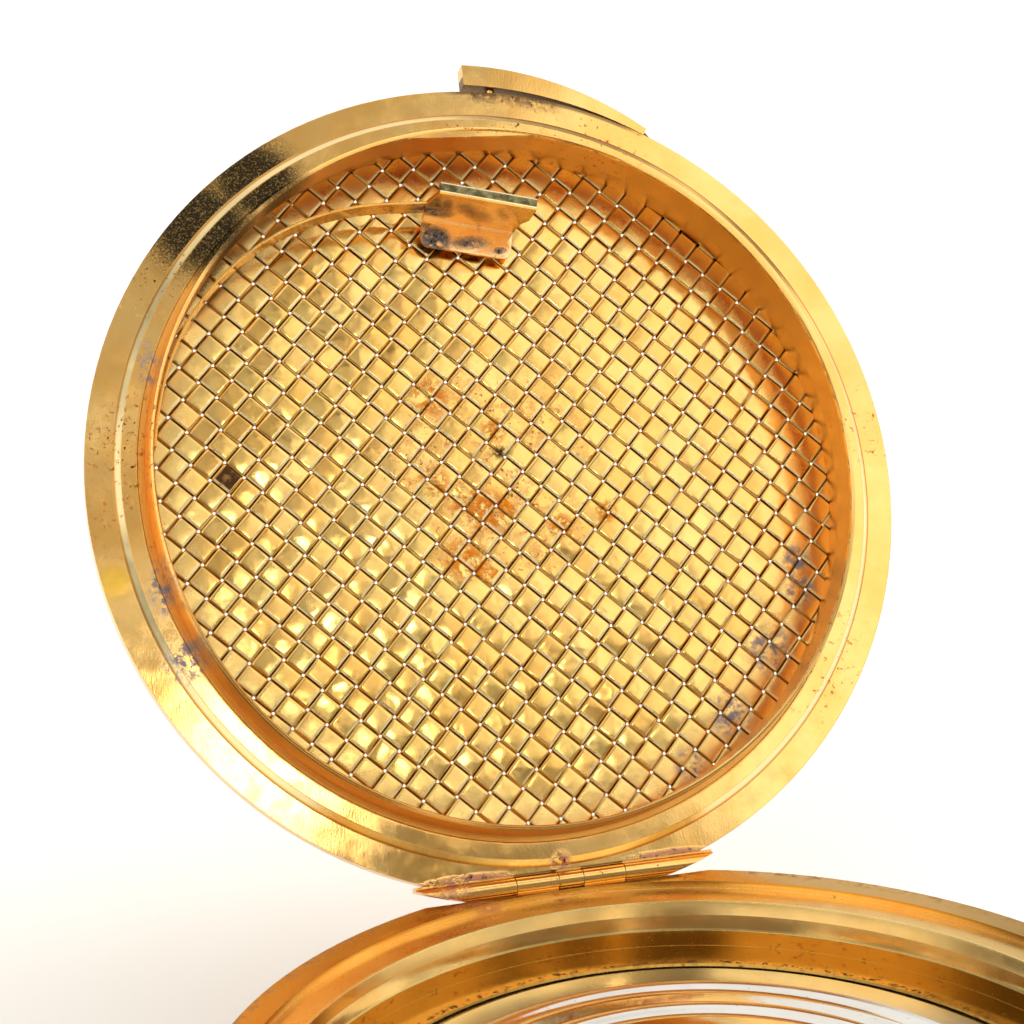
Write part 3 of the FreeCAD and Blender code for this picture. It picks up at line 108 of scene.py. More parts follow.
class Shader:
    """A node material; place is the object's own space in millimetres."""

    def __init__(self, name, **constants):
        self.material = bpy.data.materials.new(name)
        self.material.use_nodes = True
        self.tree = self.material.node_tree
        self.surface = self.tree.nodes["Principled BSDF"]
        for word, value in constants.items():
            socket = "IOR" if word == "ior" else word.replace("_", " ").title()
            self.surface.inputs[socket].default_value = value
        coordinates = self.node("ShaderNodeTexCoord").outputs["Object"]
        self.place = self.node("ShaderNodeVectorMath", {0: coordinates, "Scale": 1 / MM},
                               operation="SCALE").outputs[0]

    def node(self, kind, inputs=None, **settings):
        return add_node(self.tree, kind, inputs or {}, settings)

    def set(self, word, socket):
        self.tree.links.new(socket, self.surface.inputs[word])

    def math(self, operation, *values, clamp=False):
        inputs = dict(enumerate(values))
        return self.node("ShaderNodeMath", inputs, operation=operation, use_clamp=clamp).outputs[0]

    def noise(self, scale, detail=2.0, roughness=0.5, distortion=0.0, place=None):
        inputs = {"Vector": place or self.place, "Scale": scale, "Detail": detail,
                  "Roughness": roughness, "Distortion": distortion}
        return self.node("ShaderNodeTexNoise", inputs).outputs["Fac"]

    def stretched(self, scale, turn=(0, 0, 0), shift=(0, 0, 0)):
        inputs = {"Vector": self.place, "Scale": scale, "Rotation": turn, "Location": shift}
        return self.node("ShaderNodeMapping", inputs).outputs[0]

    def span(self, value, low, high, to_low=0.0, to_high=1.0):
        """A smooth rise from 0 at low to 1 at high, or to the two levels that are given."""
        inputs = {"Value": value, "From Min": low, "From Max": high, "To Min": to_low,
                  "To Max": to_high}
        return self.node("ShaderNodeMapRange", inputs, interpolation_type="SMOOTHSTEP").outputs[0]

    def below(self, value, edge, soft):
        """1 under an edge, 0 over it, with a soft passage to either side."""
        return self.span(value, edge + soft, edge - soft)

    def above(self, value, edge, soft):
        return self.span(value, edge - soft, edge + soft)

    def line(self, value, middle, inner, outer):
        """1 within inner of a middle value, 0 beyond outer."""
        away = self.math("ABSOLUTE", self.math("SUBTRACT", value, middle))
        return self.span(away, outer, inner)

    def mix(self, share, first, second):
        inputs = {0: share, 6: self.colour(first), 7: self.colour(second)}
        made = self.node("ShaderNodeMix", inputs, data_type="RGBA", blend_type="MIX")
        return made.outputs[2]

    @staticmethod
    def colour(value):
        """Colours are written as three shares, and a node's socket takes four."""
        if isinstance(value, tuple):
            return value + (1.0,)
        return value

    def bump(self, height, distance, normal=None):
        inputs = {"Height": height, "Distance": distance * MM, "Strength": 1.0}
        if normal is not None:
            inputs["Normal"] = normal
        return self.node("ShaderNodeBump", inputs).outputs[0]

    def soft_edges(self, radius):
        return self.node("ShaderNodeBevel", {"Radius": radius * MM}, samples=4).outputs[0]


GOLD = (0.93, 0.58, 0.19)
DEEP_GOLD = (0.90, 0.50, 0.13)
TARNISH = (0.10, 0.055, 0.03)
RUST = (0.70, 0.20, 0.015)
BROWN = (0.30, 0.11, 0.03)
SOLDER = (0.16, 0.15, 0.16)
STEEL = (0.60, 0.60, 0.62)
PINK = (0.62, 0.27, 0.16)
GREY_STAIN = (0.30, 0.27, 0.30)
FLATTENED = (1, 1, 0.2)     # spots reach five times as far along Z
SPOT_CORE = 0.3             # the solid share of a spot's radius


class Metal(Shader):
    def __init__(self, name, colour=GOLD, deep=DEEP_GOLD, rough=0.13, dents=1.0, edge=0.05):
        super().__init__(name, metallic=1.0)
        self.rough = rough
        self.dents = dents
        self.edge = edge
        cloud = self.noise(0.22, 4.0, 0.6)
        self.tone = self.mix(self.span(cloud, 0.35, 0.68), colour, deep)
        self.dull = 0.0
        self.relief = None
        self.cover = None

    def on_cover(self):
        """The place in the closed cover's own millimetres."""
        if self.cover is None:
            back = hinge - Matrix.Rotation(opening, 3, "X") @ hinge
            inputs = {"Vector": self.place, "Rotation": (opening, 0, 0), "Location": back}
            self.cover = self.node("ShaderNodeMapping", inputs).outputs[0]
        return self.cover

    def near(self, spot, inner, outer, stretch=FLATTENED, place=None):
        """1 inside inner millimetres of a spot, 0 beyond outer."""
        offset = self.node("ShaderNodeVectorMath", {0: place or self.on_cover(), 1: spot},
                           operation="SUBTRACT").outputs[0]
        scaled = self.node("ShaderNodeVectorMath", {0: offset, 1: stretch}, operation="MULTIPLY")
        length = self.node("ShaderNodeVectorMath", {0: scaled.outputs[0]}, operation="LENGTH")
        return self.span(length.outputs["Value"], outer, inner)

    def any_of(self, shares):
        total = shares[0]
        for share in shares[1:]:
            total = self.math("MAXIMUM", total, share)
        return total

    def near_any(self, *spots):
        """near() for several spots at once, each a tuple of near()'s arguments."""
        return self.any_of([self.near(*spot) for spot in spots])

    def in_spots(self, spots):
        """1 in the flat round spots of the weave, each given as its place and radius."""
        return self.near_any(*((spot + (WEAVE_FACE,), size * SPOT_CORE, size) for spot, size in spots))

    def product(self, *shares):
        total = shares[0]
        for share in shares[1:]:
            total = self.math("MULTIPLY", total, share)
        return total

    def stain(self, share, colour, dullness=0.4, height=0.0):
        """Lays a colour over the metal, and roughens and raises it there."""
        self.tone = self.mix(share, self.tone, colour)
        self.dull = self.math("ADD", self.dull, self.math("MULTIPLY", share, dullness))
        if height:
            raised = self.math("MULTIPLY", share, height)
            self.relief = raised if self.relief is None else self.math("ADD", self.relief, raised)

    def specks(self, scale, low, high, where=None):
        share = self.span(self.noise(scale, 5.0, 0.7), low, high)
        return share if where is None else self.product(share, where)

    def round_place(self, place):
        """Distance from the Z axis, and height, of a place."""
        flat = self.node("ShaderNodeVectorMath", {0: place, 1: (1, 1, 0)}, operation="MULTIPLY").outputs[0]
        radius = self.node("ShaderNodeVectorMath", {0: flat}, operation="LENGTH").outputs["Value"]
        return radius, self.node("ShaderNodeSeparateXYZ", {0: place}).outputs[2]

    def finish(self, scratch=0.0016):
        """Joins colour, roughness and the three bumps to the surface."""
        haze = self.span(self.noise(0.8, 5.0, 0.65), 0.4, 0.7, self.rough * 0.7, self.rough * 1.5)
        self.set("Base Color", self.tone)
        self.set("Roughness", self.math("ADD", haze, self.dull, clamp=True))
        across = self.stretched((1.0, 0.12, 0.3), turn=(0.3, 0.2, 0.5))
        height = self.math("MULTIPLY", self.noise(9.0, 3.0, 0.7, place=across), scratch)
        dents = self.math("MULTIPLY", self.noise(0.35, 1.0, 0.5), 0.02 * self.dents)
        height = self.math("ADD", height, dents)
        if self.relief is not None:
            height = self.math("ADD", height, self.relief)
        edges = self.soft_edges(self.edge) if self.edge else None
        self.set("Normal", self.bump(height, 1.0, normal=edges))
        return self.material


def plain_gold(name="gold", rough=0.11):
    m = Metal(name, rough=rough)
    worn = m.span(m.noise(0.33, 3.0, 0.6, place=m.stretched((1, 1, 1), shift=(9, 4, 2))), 0.55, 0.7)
    m.stain(m.specks(2.6, 0.62, 0.7, worn), TARNISH)
    return m


# ---------------------------------------------------------------- gold of the cover, case and lever
WALL_ORANGE = (0.86, 0.38, 0.06)
TARNISH_AND_DARK_REFLECTION = (0.10, 0.075, 0.03)
SOOT = (0.022, 0.016, 0.009)
PAINTED_HIGHLIGHT_SLOPE = (1.0, 0.88, 0.50)
CREASE_BROWN = (0.50, 0.24, 0.06)
PIT_BLACK = (0.03, 0.022, 0.02)
RED_OXIDE = (0.55, 0.13, 0.04)
YELLOW_WEAR = (1.0, 0.60, 0.03)
DARK_RESIDUE = (0.10, 0.05, 0.05)
GRIME = (0.22, 0.12, 0.06)
DARK_GRIME = (0.06, 0.035, 0.025)
GAP_SHADE = (0.14, 0.08, 0.04)
RIM_BROWN = (0.52, 0.29, 0.06)
SEAT_GOLD = (1.0, 0.70, 0.28)
RECESS_SHADE = (0.52, 0.27, 0.035)
HIGHLIGHT_LINE_GOLD = (1.0, 0.78, 0.30)
HIGHLIGHT_LINE_HEIGHTS = (7.87, 9.45)
LEVER_SHADE = (0.11, 0.065, 0.03)
LEVER_BROWN = (0.55, 0.32, 0.08)


def cover_gold():
    """The cover's flat bands and wall, with the tarnish and residue of long use, a painted dark reflection over
    one tarnished band, a painted highlight on the step's slope and painted shade in the gap under the lever.
    """
    m = Metal("cover_gold", rough=0.10)
    radius, height = m.round_place(m.on_cover())
    face = m.below(height, FACE + 0.15, 0.05)

    wall = m.product(m.below(radius, WALL_RADIUS, 0.1), m.above(height, FACE - 2.0, 0.2))
    m.stain(m.product(wall, 0.8), WALL_ORANGE, 0.34)

    off_step = m.span(m.math("ABSOLUTE", m.math("SUBTRACT", radius, STEP_RADIUS)), 0.2, 0.3)
    # A band of painted dark reflection laid over tarnish, with fine dark specks in it.
    dark = m.near_any(((-16.1, -15.9, FACE), 1.6, 4.3), ((-12.6, -18.6, FACE), 1.4, 3.6))
    dark = m.product(dark, m.product(off_step, face))
    m.stain(m.product(dark, 0.8), TARNISH_AND_DARK_REFLECTION, 0.1)
    m.stain(m.product(dark, m.specks(8.0, 0.36, 0.50), 0.95), SOOT, 0.22, 0.006)

    # Painted highlight on the step's inner slope.
    slope = m.product(face, m.line(radius, STEP_SLOPE, 0.10, 0.16))
    m.stain(m.product(slope, 0.7), PAINTED_HIGHLIGHT_SLOPE, 0.08)
    crease = m.product(face, m.line(radius, STEP_CREASE, 0.03, 0.07))
    m.stain(m.product(crease, 0.7), CREASE_BROWN, 0.1)

    smears = m.near_any(((-20.5, 5.1, FACE), 0.4, 1.6, (1.6, 0.7, 0.2)), ((-19.6, 9.1, FACE), 0.4, 1.8),
                        ((-19.9, -7.6, FACE), 0.3, 1.6, (2.0, 0.8, 0.2)))
    m.stain(m.product(smears, m.specks(2.2, 0.42, 0.6)), GREY_STAIN, 0.3)
    pits = m.near_any(((1.5, -21.2, FACE), 2.0, 5.0, (1, 4, 0.2)),
                      ((4.5, -23.3, FACE), 1.0, 3.0, (1, 3, 0.2)),
                      ((-21.0, -3.0, FACE), 1.0, 4.0), ((-19.0, -13.0, FACE), 1.0, 3.0))
    m.stain(m.product(pits, m.specks(3.4, 0.60, 0.64)), PIT_BLACK, 0.35, -0.02)
    red = m.near_any(((17.0, 12.7, FACE), 1.0, 5.0), ((23.0, -1.0, FACE), 1.0, 4.0),
                     ((8.3, -20.6, FACE), 1.0, 5.0), ((-21.5, -3.5, FACE), 1.0, 4.0),
                     ((-22.0, 1.0, FACE), 1.0, 4.0))
    m.stain(m.product(red, m.specks(2.4, 0.58, 0.66)), RED_OXIDE, 0.25)
    m.stain(m.product(m.near((-22.9, 4.4, FACE), 0.3, 1.3), 0.6), YELLOW_WEAR, 0.1)

    along_hinge = (0.3, 2.4, 0.3)
    residue = m.near_any(((-5.8, 22.62, FACE), 0.4, 1.0, along_hinge),
                         ((5.9, 22.62, FACE), 0.3, 0.9, along_hinge), ((-0.3, 22.3, FACE), 0.2, 0.8))
    m.stain(m.product(residue, m.specks(1.6, 0.40, 0.52)), PINK, 0.35, 0.008)
    m.stain(m.product(residue, m.specks(3.0, 0.56, 0.62)), DARK_RESIDUE, 0.2)

    under_lever = m.product(m.near((3.4, -23.6, FACE), 1.6, 4.4), m.span(radius, 23.0, 23.75))
    m.stain(m.product(under_lever, m.specks(1.3, 0.34, 0.54), 0.9), GRIME, 0.3)
    m.stain(m.product(under_lever, m.specks(3.2, 0.54, 0.62), 0.8), DARK_GRIME, 0.3)
    gap = m.product(m.near((5.6, -23.4, FACE), 5.0, 7.0), m.above(radius, 23.8, 0.1))
    m.stain(m.product(gap, 0.75), GAP_SHADE, 0.3)
    return m.finish()


def case_gold():
    """The case band, with brown dirt along its turned steps, painted shade in its recess and painted highlight
    lines round the recess wall.
    """
    m = plain_gold("case_gold", rough=0.09)
    radius, height = m.round_place(m.place)
    edge = m.product(m.span(radius, 23.2, 24.0), m.span(height, 9.2, 9.9))
    m.stain(m.product(edge, m.specks(1.4, 0.46, 0.62), 0.8), BROWN, 0.35)
    top = m.product(m.above(radius, 22.5, 0.1), m.span(height, 9.7, 9.85))
    m.stain(m.product(top, 0.75), RIM_BROWN, 0.12)
    seat = m.product(m.above(radius, 20.9, 0.1), m.below(height, 9.65, 0.05))
    m.stain(m.product(seat, 0.4), SEAT_GOLD, 0.5)
    # Painted shade over the lower recess and its ledge.
    low = m.product(m.below(radius, RECESS_RADIUS, 0.05), m.below(height, 7.9, 0.1))
    m.stain(m.product(low, 0.75), RECESS_SHADE, 0.08)
    # Painted highlight lines round the recess wall, at two heights.
    highlight_lines = m.any_of([m.line(height, spot, 0.04, 0.10) for spot in HIGHLIGHT_LINE_HEIGHTS])
    m.stain(m.product(m.below(radius, RECESS_RADIUS + 0.1, 0.05), highlight_lines, 0.7), HIGHLIGHT_LINE_GOLD, 0.10)
    residue = m.near_any(((-5.4, 22.3, 9.9), 0.2, 0.9, (0.5, 1.6, 0.3), m.place),
                         ((-0.6, 22.2, 9.9), 0.1, 0.5, (0.7, 1.6, 0.3), m.place))
    m.stain(m.product(residue, m.specks(1.8, 0.40, 0.5)), PINK, 0.3, 0.02)
    step = m.line(radius, 18.8, 0.0, 0.35)
    m.stain(m.product(step, m.specks(2.8, 0.50, 0.62)), TARNISH, 0.4)
    wall = m.product(m.span(radius, 21.3, 21.0), m.span(height, 8.4, 7.2))
    m.stain(m.product(wall, m.specks(1.8, 0.58, 0.68), 0.7), BROWN, 0.3)
    return m.finish()


def lever_gold():
    """The thumb lever, with painted shade on the side that faces the rim and none on the other sides."""
    m = Metal("lever_gold", rough=0.09)
    radius, height = m.round_place(m.on_cover())
    # Painted shade on the lever's inner side, toward the rim.
    free_end = m.product(m.below(radius, 25.1, 0.05), m.near((1.5, -24.9, FACE + 0.5), 3.0, 5.0))
    inner = m.product(m.any_of([free_end, m.below(radius, 24.8, 0.05)]), m.span(height, 10.17, 10.22),
                      m.below(height, 11.22, 0.02))
    m.stain(m.product(inner, 0.9), LEVER_SHADE, 0.35)
    worn = m.near((1.2, -24.8, FACE), 0.3, 1.6)
    m.stain(m.product(worn, m.specks(3.0, 0.50, 0.58), 0.6), LEVER_BROWN, 0.2)
    return m.finish()


def knuckle_gold():
    """Hinge barrels with pinkish residue in the gaps."""
    m = Metal("knuckle_gold", rough=0.12)
    residue = m.near((-6.6, 23.3, 10.4), 0.2, 0.9, (0.5, 0.8, 0.8), m.place)
    m.stain(m.product(residue, m.specks(1.7, 0.42, 0.56)), PINK, 0.35, 0.02)
    m.stain(m.specks(2.6, 0.62, 0.68), BROWN, 0.3)
    return m.finish()


# ---------------------------------------------------------------- gold of the weave
WEAVE_ANGLE = math.radians(44.6)
WEAVE_MIDDLE = Vector((-0.29, -0.609, 0.0))
PITCH = 1.3718
WARM_CELL = (0.82, 0.44, 0.10)
OLIVE_CELL = (0.74, 0.54, 0.16)
OUTER_CELL = (0.90, 0.60, 0.20)
RUST_TINT = (0.78, 0.40, 0.12)
ORANGE_FILL = (0.80, 0.22, 0.006)
BURNT = (0.10, 0.045, 0.02)
SPILL_BLACK = (0.03, 0.025, 0.01)
GROOVE_SHADE_AND_DIRT = (0.20, 0.12, 0.03)
EDGE_LIGHT = (1.0, 0.86, 0.46)
ORANGE_SPOTS = [((-0.9, 1.6), 1.9), ((-2.6, 4.4), 1.8), ((-3.8, -0.4), 1.3), ((3.4, 2.8), 1.1),
                ((-3.4, -5.6), 1.6), ((-2.1, 0.8), 1.5), ((0.2, -3.2), 1.0), ((6.4, 2.2), 0.9)]
ORANGE_CELLS = [((0.25, 1.7), 0.55), ((-1.5, 5.2), 0.5), ((-2.5, 4.3), 0.35), ((-0.8, 1.0), 0.40)]
GREY_SPOTS = [((12.0, 15.0), 1.8), ((9.0, 17.6), 1.3), ((15.2, 11.4), 2.0), ((17.8, 8.0), 1.5),
              ((17.9, 6.1), 1.2)]
BURNT_CELL = (-15.76, -1.51)


def in_cells(m):
    """The weave's own coordinates, one unit to a cell."""
    turn = Matrix.Rotation(-WEAVE_ANGLE, 3, "Z")
    shift = -(turn @ WEAVE_MIDDLE) / PITCH
    inputs = {"Vector": m.on_cover(), "Rotation": (0, 0, -WEAVE_ANGLE), "Scale": (1 / PITCH,) * 3,
              "Location": shift}
    return m.node("ShaderNodeMapping", inputs).outputs[0]


def in_square(m, spot, half):
    """1 inside a square turned with the ribbons."""
    inputs = {"Vector": m.node("ShaderNodeVectorMath", {0: m.on_cover(), 1: spot + (0.0,)},
                               operation="SUBTRACT").outputs[0], "Rotation": (0, 0, -WEAVE_ANGLE)}
    turned = m.node("ShaderNodeMapping", inputs).outputs[0]
    away = m.node("ShaderNodeVectorMath", {0: turned}, operation="ABSOLUTE").outputs[0]
    parts = m.node("ShaderNodeSeparateXYZ", {0: away}).outputs
    return m.span(m.math("MAXIMUM", parts[0], parts[1]), half + 0.08, half)


def weave_gold():
    """The ribbons: each cell has its own tone and dents, with rust and stains over the middle."""
    m = Metal("woven_gold", (0.93, 0.60, 0.19), (0.88, 0.52, 0.13), rough=0.13, dents=0.1, edge=None)
    cell = m.node("ShaderNodeVectorMath", {0: in_cells(m)}, operation="FLOOR").outputs[0]
    chance = m.node("ShaderNodeTexWhiteNoise", {"Vector": cell}, noise_dimensions="2D").outputs[0]
    apart = m.node("ShaderNodeVectorMath", {0: m.place, 1: m.math("MULTIPLY", chance, 40.0)}).outputs[0]
    m.relief = m.math("MULTIPLY", m.noise(0.8, 1.0, 0.5, 0.3, place=apart), 0.035)
    m.stain(m.span(chance, 0.5, 1.0, 0.0, 0.6), WARM_CELL, 0.05)
    m.stain(m.span(chance, 0.5, 0.0, 0.0, 0.4), OLIVE_CELL, 0.06)
    radius = m.round_place(m.on_cover())[0]
    m.stain(m.span(radius, 16.5, 20.0), OUTER_CELL, 0.17)

    worn = m.product(m.near((-0.6, -0.6, WEAVE_FACE), 3.0, 9.5), m.span(chance, 0.25, 0.6))
    m.stain(m.product(worn, m.specks(1.6, 0.46, 0.6)), RUST_TINT, 0.16)
    m.stain(m.product(worn, m.specks(3.0, 0.58, 0.64)), BROWN, 0.3)
    m.stain(m.specks(3.6, 0.70, 0.73), BROWN, 0.3)

    m.stain(m.product(m.in_spots(ORANGE_SPOTS), m.specks(1.8, 0.44, 0.56)), RUST, 0.25, 0.02)
    filled = m.any_of([in_square(m, spot, half) for spot, half in ORANGE_CELLS])
    m.stain(m.product(filled, m.span(m.noise(1.7, 5.0, 0.7), 0.40, 0.60)), ORANGE_FILL, 0.22, 0.02)
    burnt = m.product(in_square(m, BURNT_CELL, 0.5), m.span(m.noise(2.5, 3.0), 0.3, 0.5, 0.75, 1.0))
    m.stain(burnt, BURNT, 0.5)
    spill = m.near((0.45, -1.85, WEAVE_FACE), 0.1, 0.75, stretch=(0.8, 1.3, 0.2))
    m.stain(m.product(spill, m.specks(4.0, 0.42, 0.5)), SPILL_BLACK, 0.5)
    m.stain(m.product(m.in_spots(GREY_SPOTS), m.specks(1.5, 0.42, 0.6)), GREY_STAIN, 0.35)

    # Painted shade with some dirt in the grooves and where a ribbon dives under its neighbour.
    groove = m.node("ShaderNodeAttribute", attribute_name="groove").outputs["Fac"]
    m.stain(m.math("MULTIPLY", groove, 0.45), GROOVE_SHADE_AND_DIRT, 0.05)
    shine = m.node("ShaderNodeAttribute", attribute_name="shine").outputs["Fac"]
    m.stain(m.product(shine, m.specks(0.9, 0.30, 0.50), 0.85), EDGE_LIGHT, 0.22)
    return m.finish(scratch=0.0008)


# ---------------------------------------------------------------- copper tone of the catch
HOOK_SLANT = math.radians(12.5)
HOOK_PLACE = Vector((0.25, -16.0, 0.0))
COPPER = (1.0, 0.57, 0.14)
DEEP_COPPER = (0.98, 0.46, 0.08)
BAR_GREY = (0.30, 0.25, 0.12)
BAR_DARK = (0.10, 0.08, 0.03)
BAR_EDGE_HIGHLIGHT = (1.0, 0.86, 0.52)
FOLD_HIGHLIGHT = (1.0, 0.84, 0.58)
SOLDER_LIGHT = (0.42, 0.41, 0.42)
SOLDER_BLACK = (0.03, 0.03, 0.035)


def catch_gold():
    """The copper-toned catch, smeared with grey solder, with painted highlights along the bar's edges and the
    fold.
    """
    m = Metal("catch_gold", colour=COPPER, deep=DEEP_COPPER, rough=0.22, edge=0.10)
    start = Matrix.Rotation(-HOOK_SLANT, 3, "Z") @ HOOK_PLACE
    inputs = {"Vector": m.on_cover(), "Rotation": (0, 0, -HOOK_SLANT), "Location": -start}
    on_hook = m.node("ShaderNodeMapping", inputs).outputs[0]
    _, across, height = m.node("ShaderNodeSeparateXYZ", {0: on_hook}).outputs

    bar = m.product(m.below(height, 7.75, 0.05), m.below(across, -0.02, 0.02))
    rim = m.span(m.math("ABSOLUTE", m.math("ADD", across, 0.32)), 0.20, 0.26)
    m.stain(bar, BAR_GREY, 0.05)
    m.stain(m.product(bar, m.specks(1.2, 0.40, 0.60)), BAR_DARK, 0.05)
    # Painted highlight along the bar's edges.
    m.stain(m.product(bar, rim), BAR_EDGE_HIGHLIGHT, -0.1)
    # Painted highlight along the fold between the upright and the foot.
    fold = m.product(m.line(height, HOOK_FOLD, 0.04, 0.10), m.span(across, 0.05, 0.1))
    m.stain(m.product(fold, 0.9), FOLD_HIGHLIGHT, -0.16)

    solder = m.near_any(((-1.9, -15.1, HOOK_FOOT), 0.5, 1.3, (1, 1.2, 0.5)),
                        ((0.2, -14.8, HOOK_FOOT), 0.1, 1.2, (0.7, 2, 0.5)),
                        ((2.0, -14.2, HOOK_FOOT), 0.1, 0.65, (1, 2, 0.5)),
                        ((-2.3, -16.5, 10.3), 0.3, 1.3, (0.7, 1, 1.6)),
                        ((1.4, -16.5, 11.0), 0.0, 0.9, (0.7, 1, 3.0)))
    m.stain(m.product(solder, m.specks(1.8, 0.38, 0.5)), SOLDER, 0.35, 0.02)
    m.stain(m.product(solder, m.specks(6.0, 0.52, 0.56), 0.7), SOLDER_LIGHT, 0.1, 0.03)
    m.stain(m.product(solder, m.specks(4.5, 0.55, 0.6)), SOLDER_BLACK, 0.4, 0.03)
    m.stain(m.specks(2.8, 0.64, 0.70), BROWN, 0.3)
    return m.finish()


# ---------------------------------------------------------------- the other metals and materials
SILVER = (0.88, 0.85, 0.79)
DEEP_SILVER = (0.82, 0.77, 0.68)
COOL_REFLECTION_TINT = (0.72, 0.76, 0.80)
SILVER_TARNISH = (0.55, 0.42, 0.26)
STEEL_TARNISH = (0.22, 0.20, 0.18)
BLUED_STEEL = (0.03, 0.06, 0.25)
RING_HEIGHT = 0.52


def silver():
    """The dust cover, with two turned rings round its middle."""
    m = Metal("dust_cover_metal", colour=SILVER, deep=DEEP_SILVER, rough=0.07, dents=0.5, edge=None)
    radius = m.round_place(m.place)[0]
    rings = m.math("ADD", m.span(radius, 14.3, 16.3), m.span(radius, 11.4, 13.4))
    m.relief = m.math("MULTIPLY", rings, RING_HEIGHT)
    # Painted reflection: a cool grey tint on the outer ring, in place of the gold it would mirror.
    m.stain(m.product(m.span(radius, 15.5, 16.2), 0.85), COOL_REFLECTION_TINT, 0.16)
    m.stain(m.specks(2.0, 0.64, 0.72), SILVER_TARNISH, 0.15)
    return m.finish()


def darker(colour, share):
    return tuple(part * share for part in colour)


def steel(name="steel", colour=STEEL, rough=0.25):
    m = Metal(name, colour=colour, deep=darker(colour, 0.88), rough=rough, dents=0.1, edge=None)
    m.stain(m.specks(3.0, 0.66, 0.72), STEEL_TARNISH, 0.2)
    return m.finish()


def plating(name, colour):
    """Striped finish of the movement's plates."""
    m = Metal(name, colour=colour, deep=darker(colour, 0.9), rough=0.22, dents=0.1, edge=None)
    wave = m.node("ShaderNodeTexWave", {"Vector": m.place, "Scale": 0.35, "Distortion": 0.2},
                  wave_type="BANDS", bands_direction="DIAGONAL").outputs["Fac"]
    m.relief = m.math("MULTIPLY", wave, 0.01)
    return m.finish()


def plain_surface(name, colour, second, scale, rough, **constants):
    """A material that isn't metal: two close colours and a fine grain."""
    s = Shader(name, **constants)
    s.set("Base Color", s.mix(s.span(s.noise(scale, 4.0, 0.6), 0.35, 0.65), colour, second))
    s.set("Roughness", s.span(s.noise(scale * 2, 3.0), 0.3, 0.7, rough * 0.8, rough * 1.2))
    s.set("Normal", s.bump(s.noise(scale * 8, 2.0), 0.004))
    return s.material


def glass():
    s = Shader("crystal_glass", transmission_weight=1.0, ior=1.5)
    s.set("Base Color", s.mix(s.noise(0.2), (0.97, 0.98, 0.98), (0.99, 1.0, 1.0)))
    s.set("Roughness", s.span(s.noise(1.5, 4.0), 0.55, 0.8, 0.01, 0.05))
    return s.material


# Every node takes its slot's material, apart from the ones that are named below.
slot_materials = {
    "gold": plain_gold().finish(), "woven_gold": weave_gold(), "catch_gold": catch_gold(),
    "white_metal": silver(), "glass": glass(), "steel": steel(),
    "rubber": plain_surface("gasket_rubber", (0.03, 0.03, 0.03), (0.05, 0.05, 0.05), 1.0, 0.6),
    "plate": plating("plate_metal", (0.74, 0.71, 0.65)),
    "brass": plating("train_brass", (0.85, 0.62, 0.28)),
    "ruby": plain_surface("ruby", (0.45, 0.01, 0.06), (0.6, 0.03, 0.1), 1.0, 0.06, ior=1.76),
    "dial": plain_surface("dial_enamel", (0.90, 0.87, 0.80), (0.86, 0.82, 0.74), 0.3, 0.2, coat_weight=0.6),
    "markers": plain_gold("marker_gold", 0.08).finish()}
node_materials = {"case_band": case_gold(), "thumb_lever": lever_gold()}
node_materials.update(dict.fromkeys(("cover_rim", "cover_lip"), cover_gold()))
node_materials.update(dict.fromkeys(("case_hinge_knuckles", "cover_hinge_knuckles"), knuckle_gold()))
node_materials.update(dict.fromkeys(("hour_hand", "minute_hand", "seconds_hand"),
                                    steel("blued_steel", BLUED_STEEL, 0.2)))
slot_of = {part["node"]: part["material_slot"] for part in frame["record"]["subparts"]}
for name, node in frame["nodes"].items():
    node.data.materials.clear()
    node.data.materials.append(node_materials.get(name) or slot_materials[slot_of[name]])


# ---------------------------------------------------------------- woven cover
WIDTH = 1.225
HALF_THICKNESS = 0.05
WAVE = 0.072            # how far a ribbon rises and dives
LIFT = 0.10             # the random share of that
TILT = 0.055            # random tilt along a cell
ROLL = 0.06             # random roll across it
WEAVE_RADIUS = 21.46
EDGE_MARGIN = 0.3       # a ribbon whose middle is nearer the edge than this share of its width is left out
CORNER_POWER = 0.16     # lower is flatter on top and steeper at a cell's ends
ALONG_CELL = (0.0, 0.03, 0.07, 0.12, 0.19, 0.81, 0.88, 0.93, 0.97)
DIVE_END = 0.05         # the share of a cell where a ribbon dives under its neighbour
LIT_END = 0.1           # the pale edge stops this share short of a cell's ends
# Across a ribbon: the place as a share of its width, and the height as a share of half its thickness.
SECTION = [(-0.5, 0.0), (-0.47, 0.45), (-0.42, 0.85), (-0.36, 1.0),
           (0.36, 1.0), (0.42, 0.85), (0.47, 0.45), (0.5, 0.0),
           (0.475, -0.5), (0.415, -0.88), (0.335, -1.0),
           (-0.335, -1.0), (-0.415, -0.88), (-0.475, -0.5)]
GROOVE_EDGE = 0.46      # corners beyond this share of the width lie in a groove
LIT_EDGE = (0.4, 0.48)  # corners between these shares, on one side, catch the light


def plateau(part):
    """Height of a pressed crossing from one end of its cell (0) to the other (1)."""
    return max(0.0, math.sin(math.pi * part)) ** CORNER_POWER


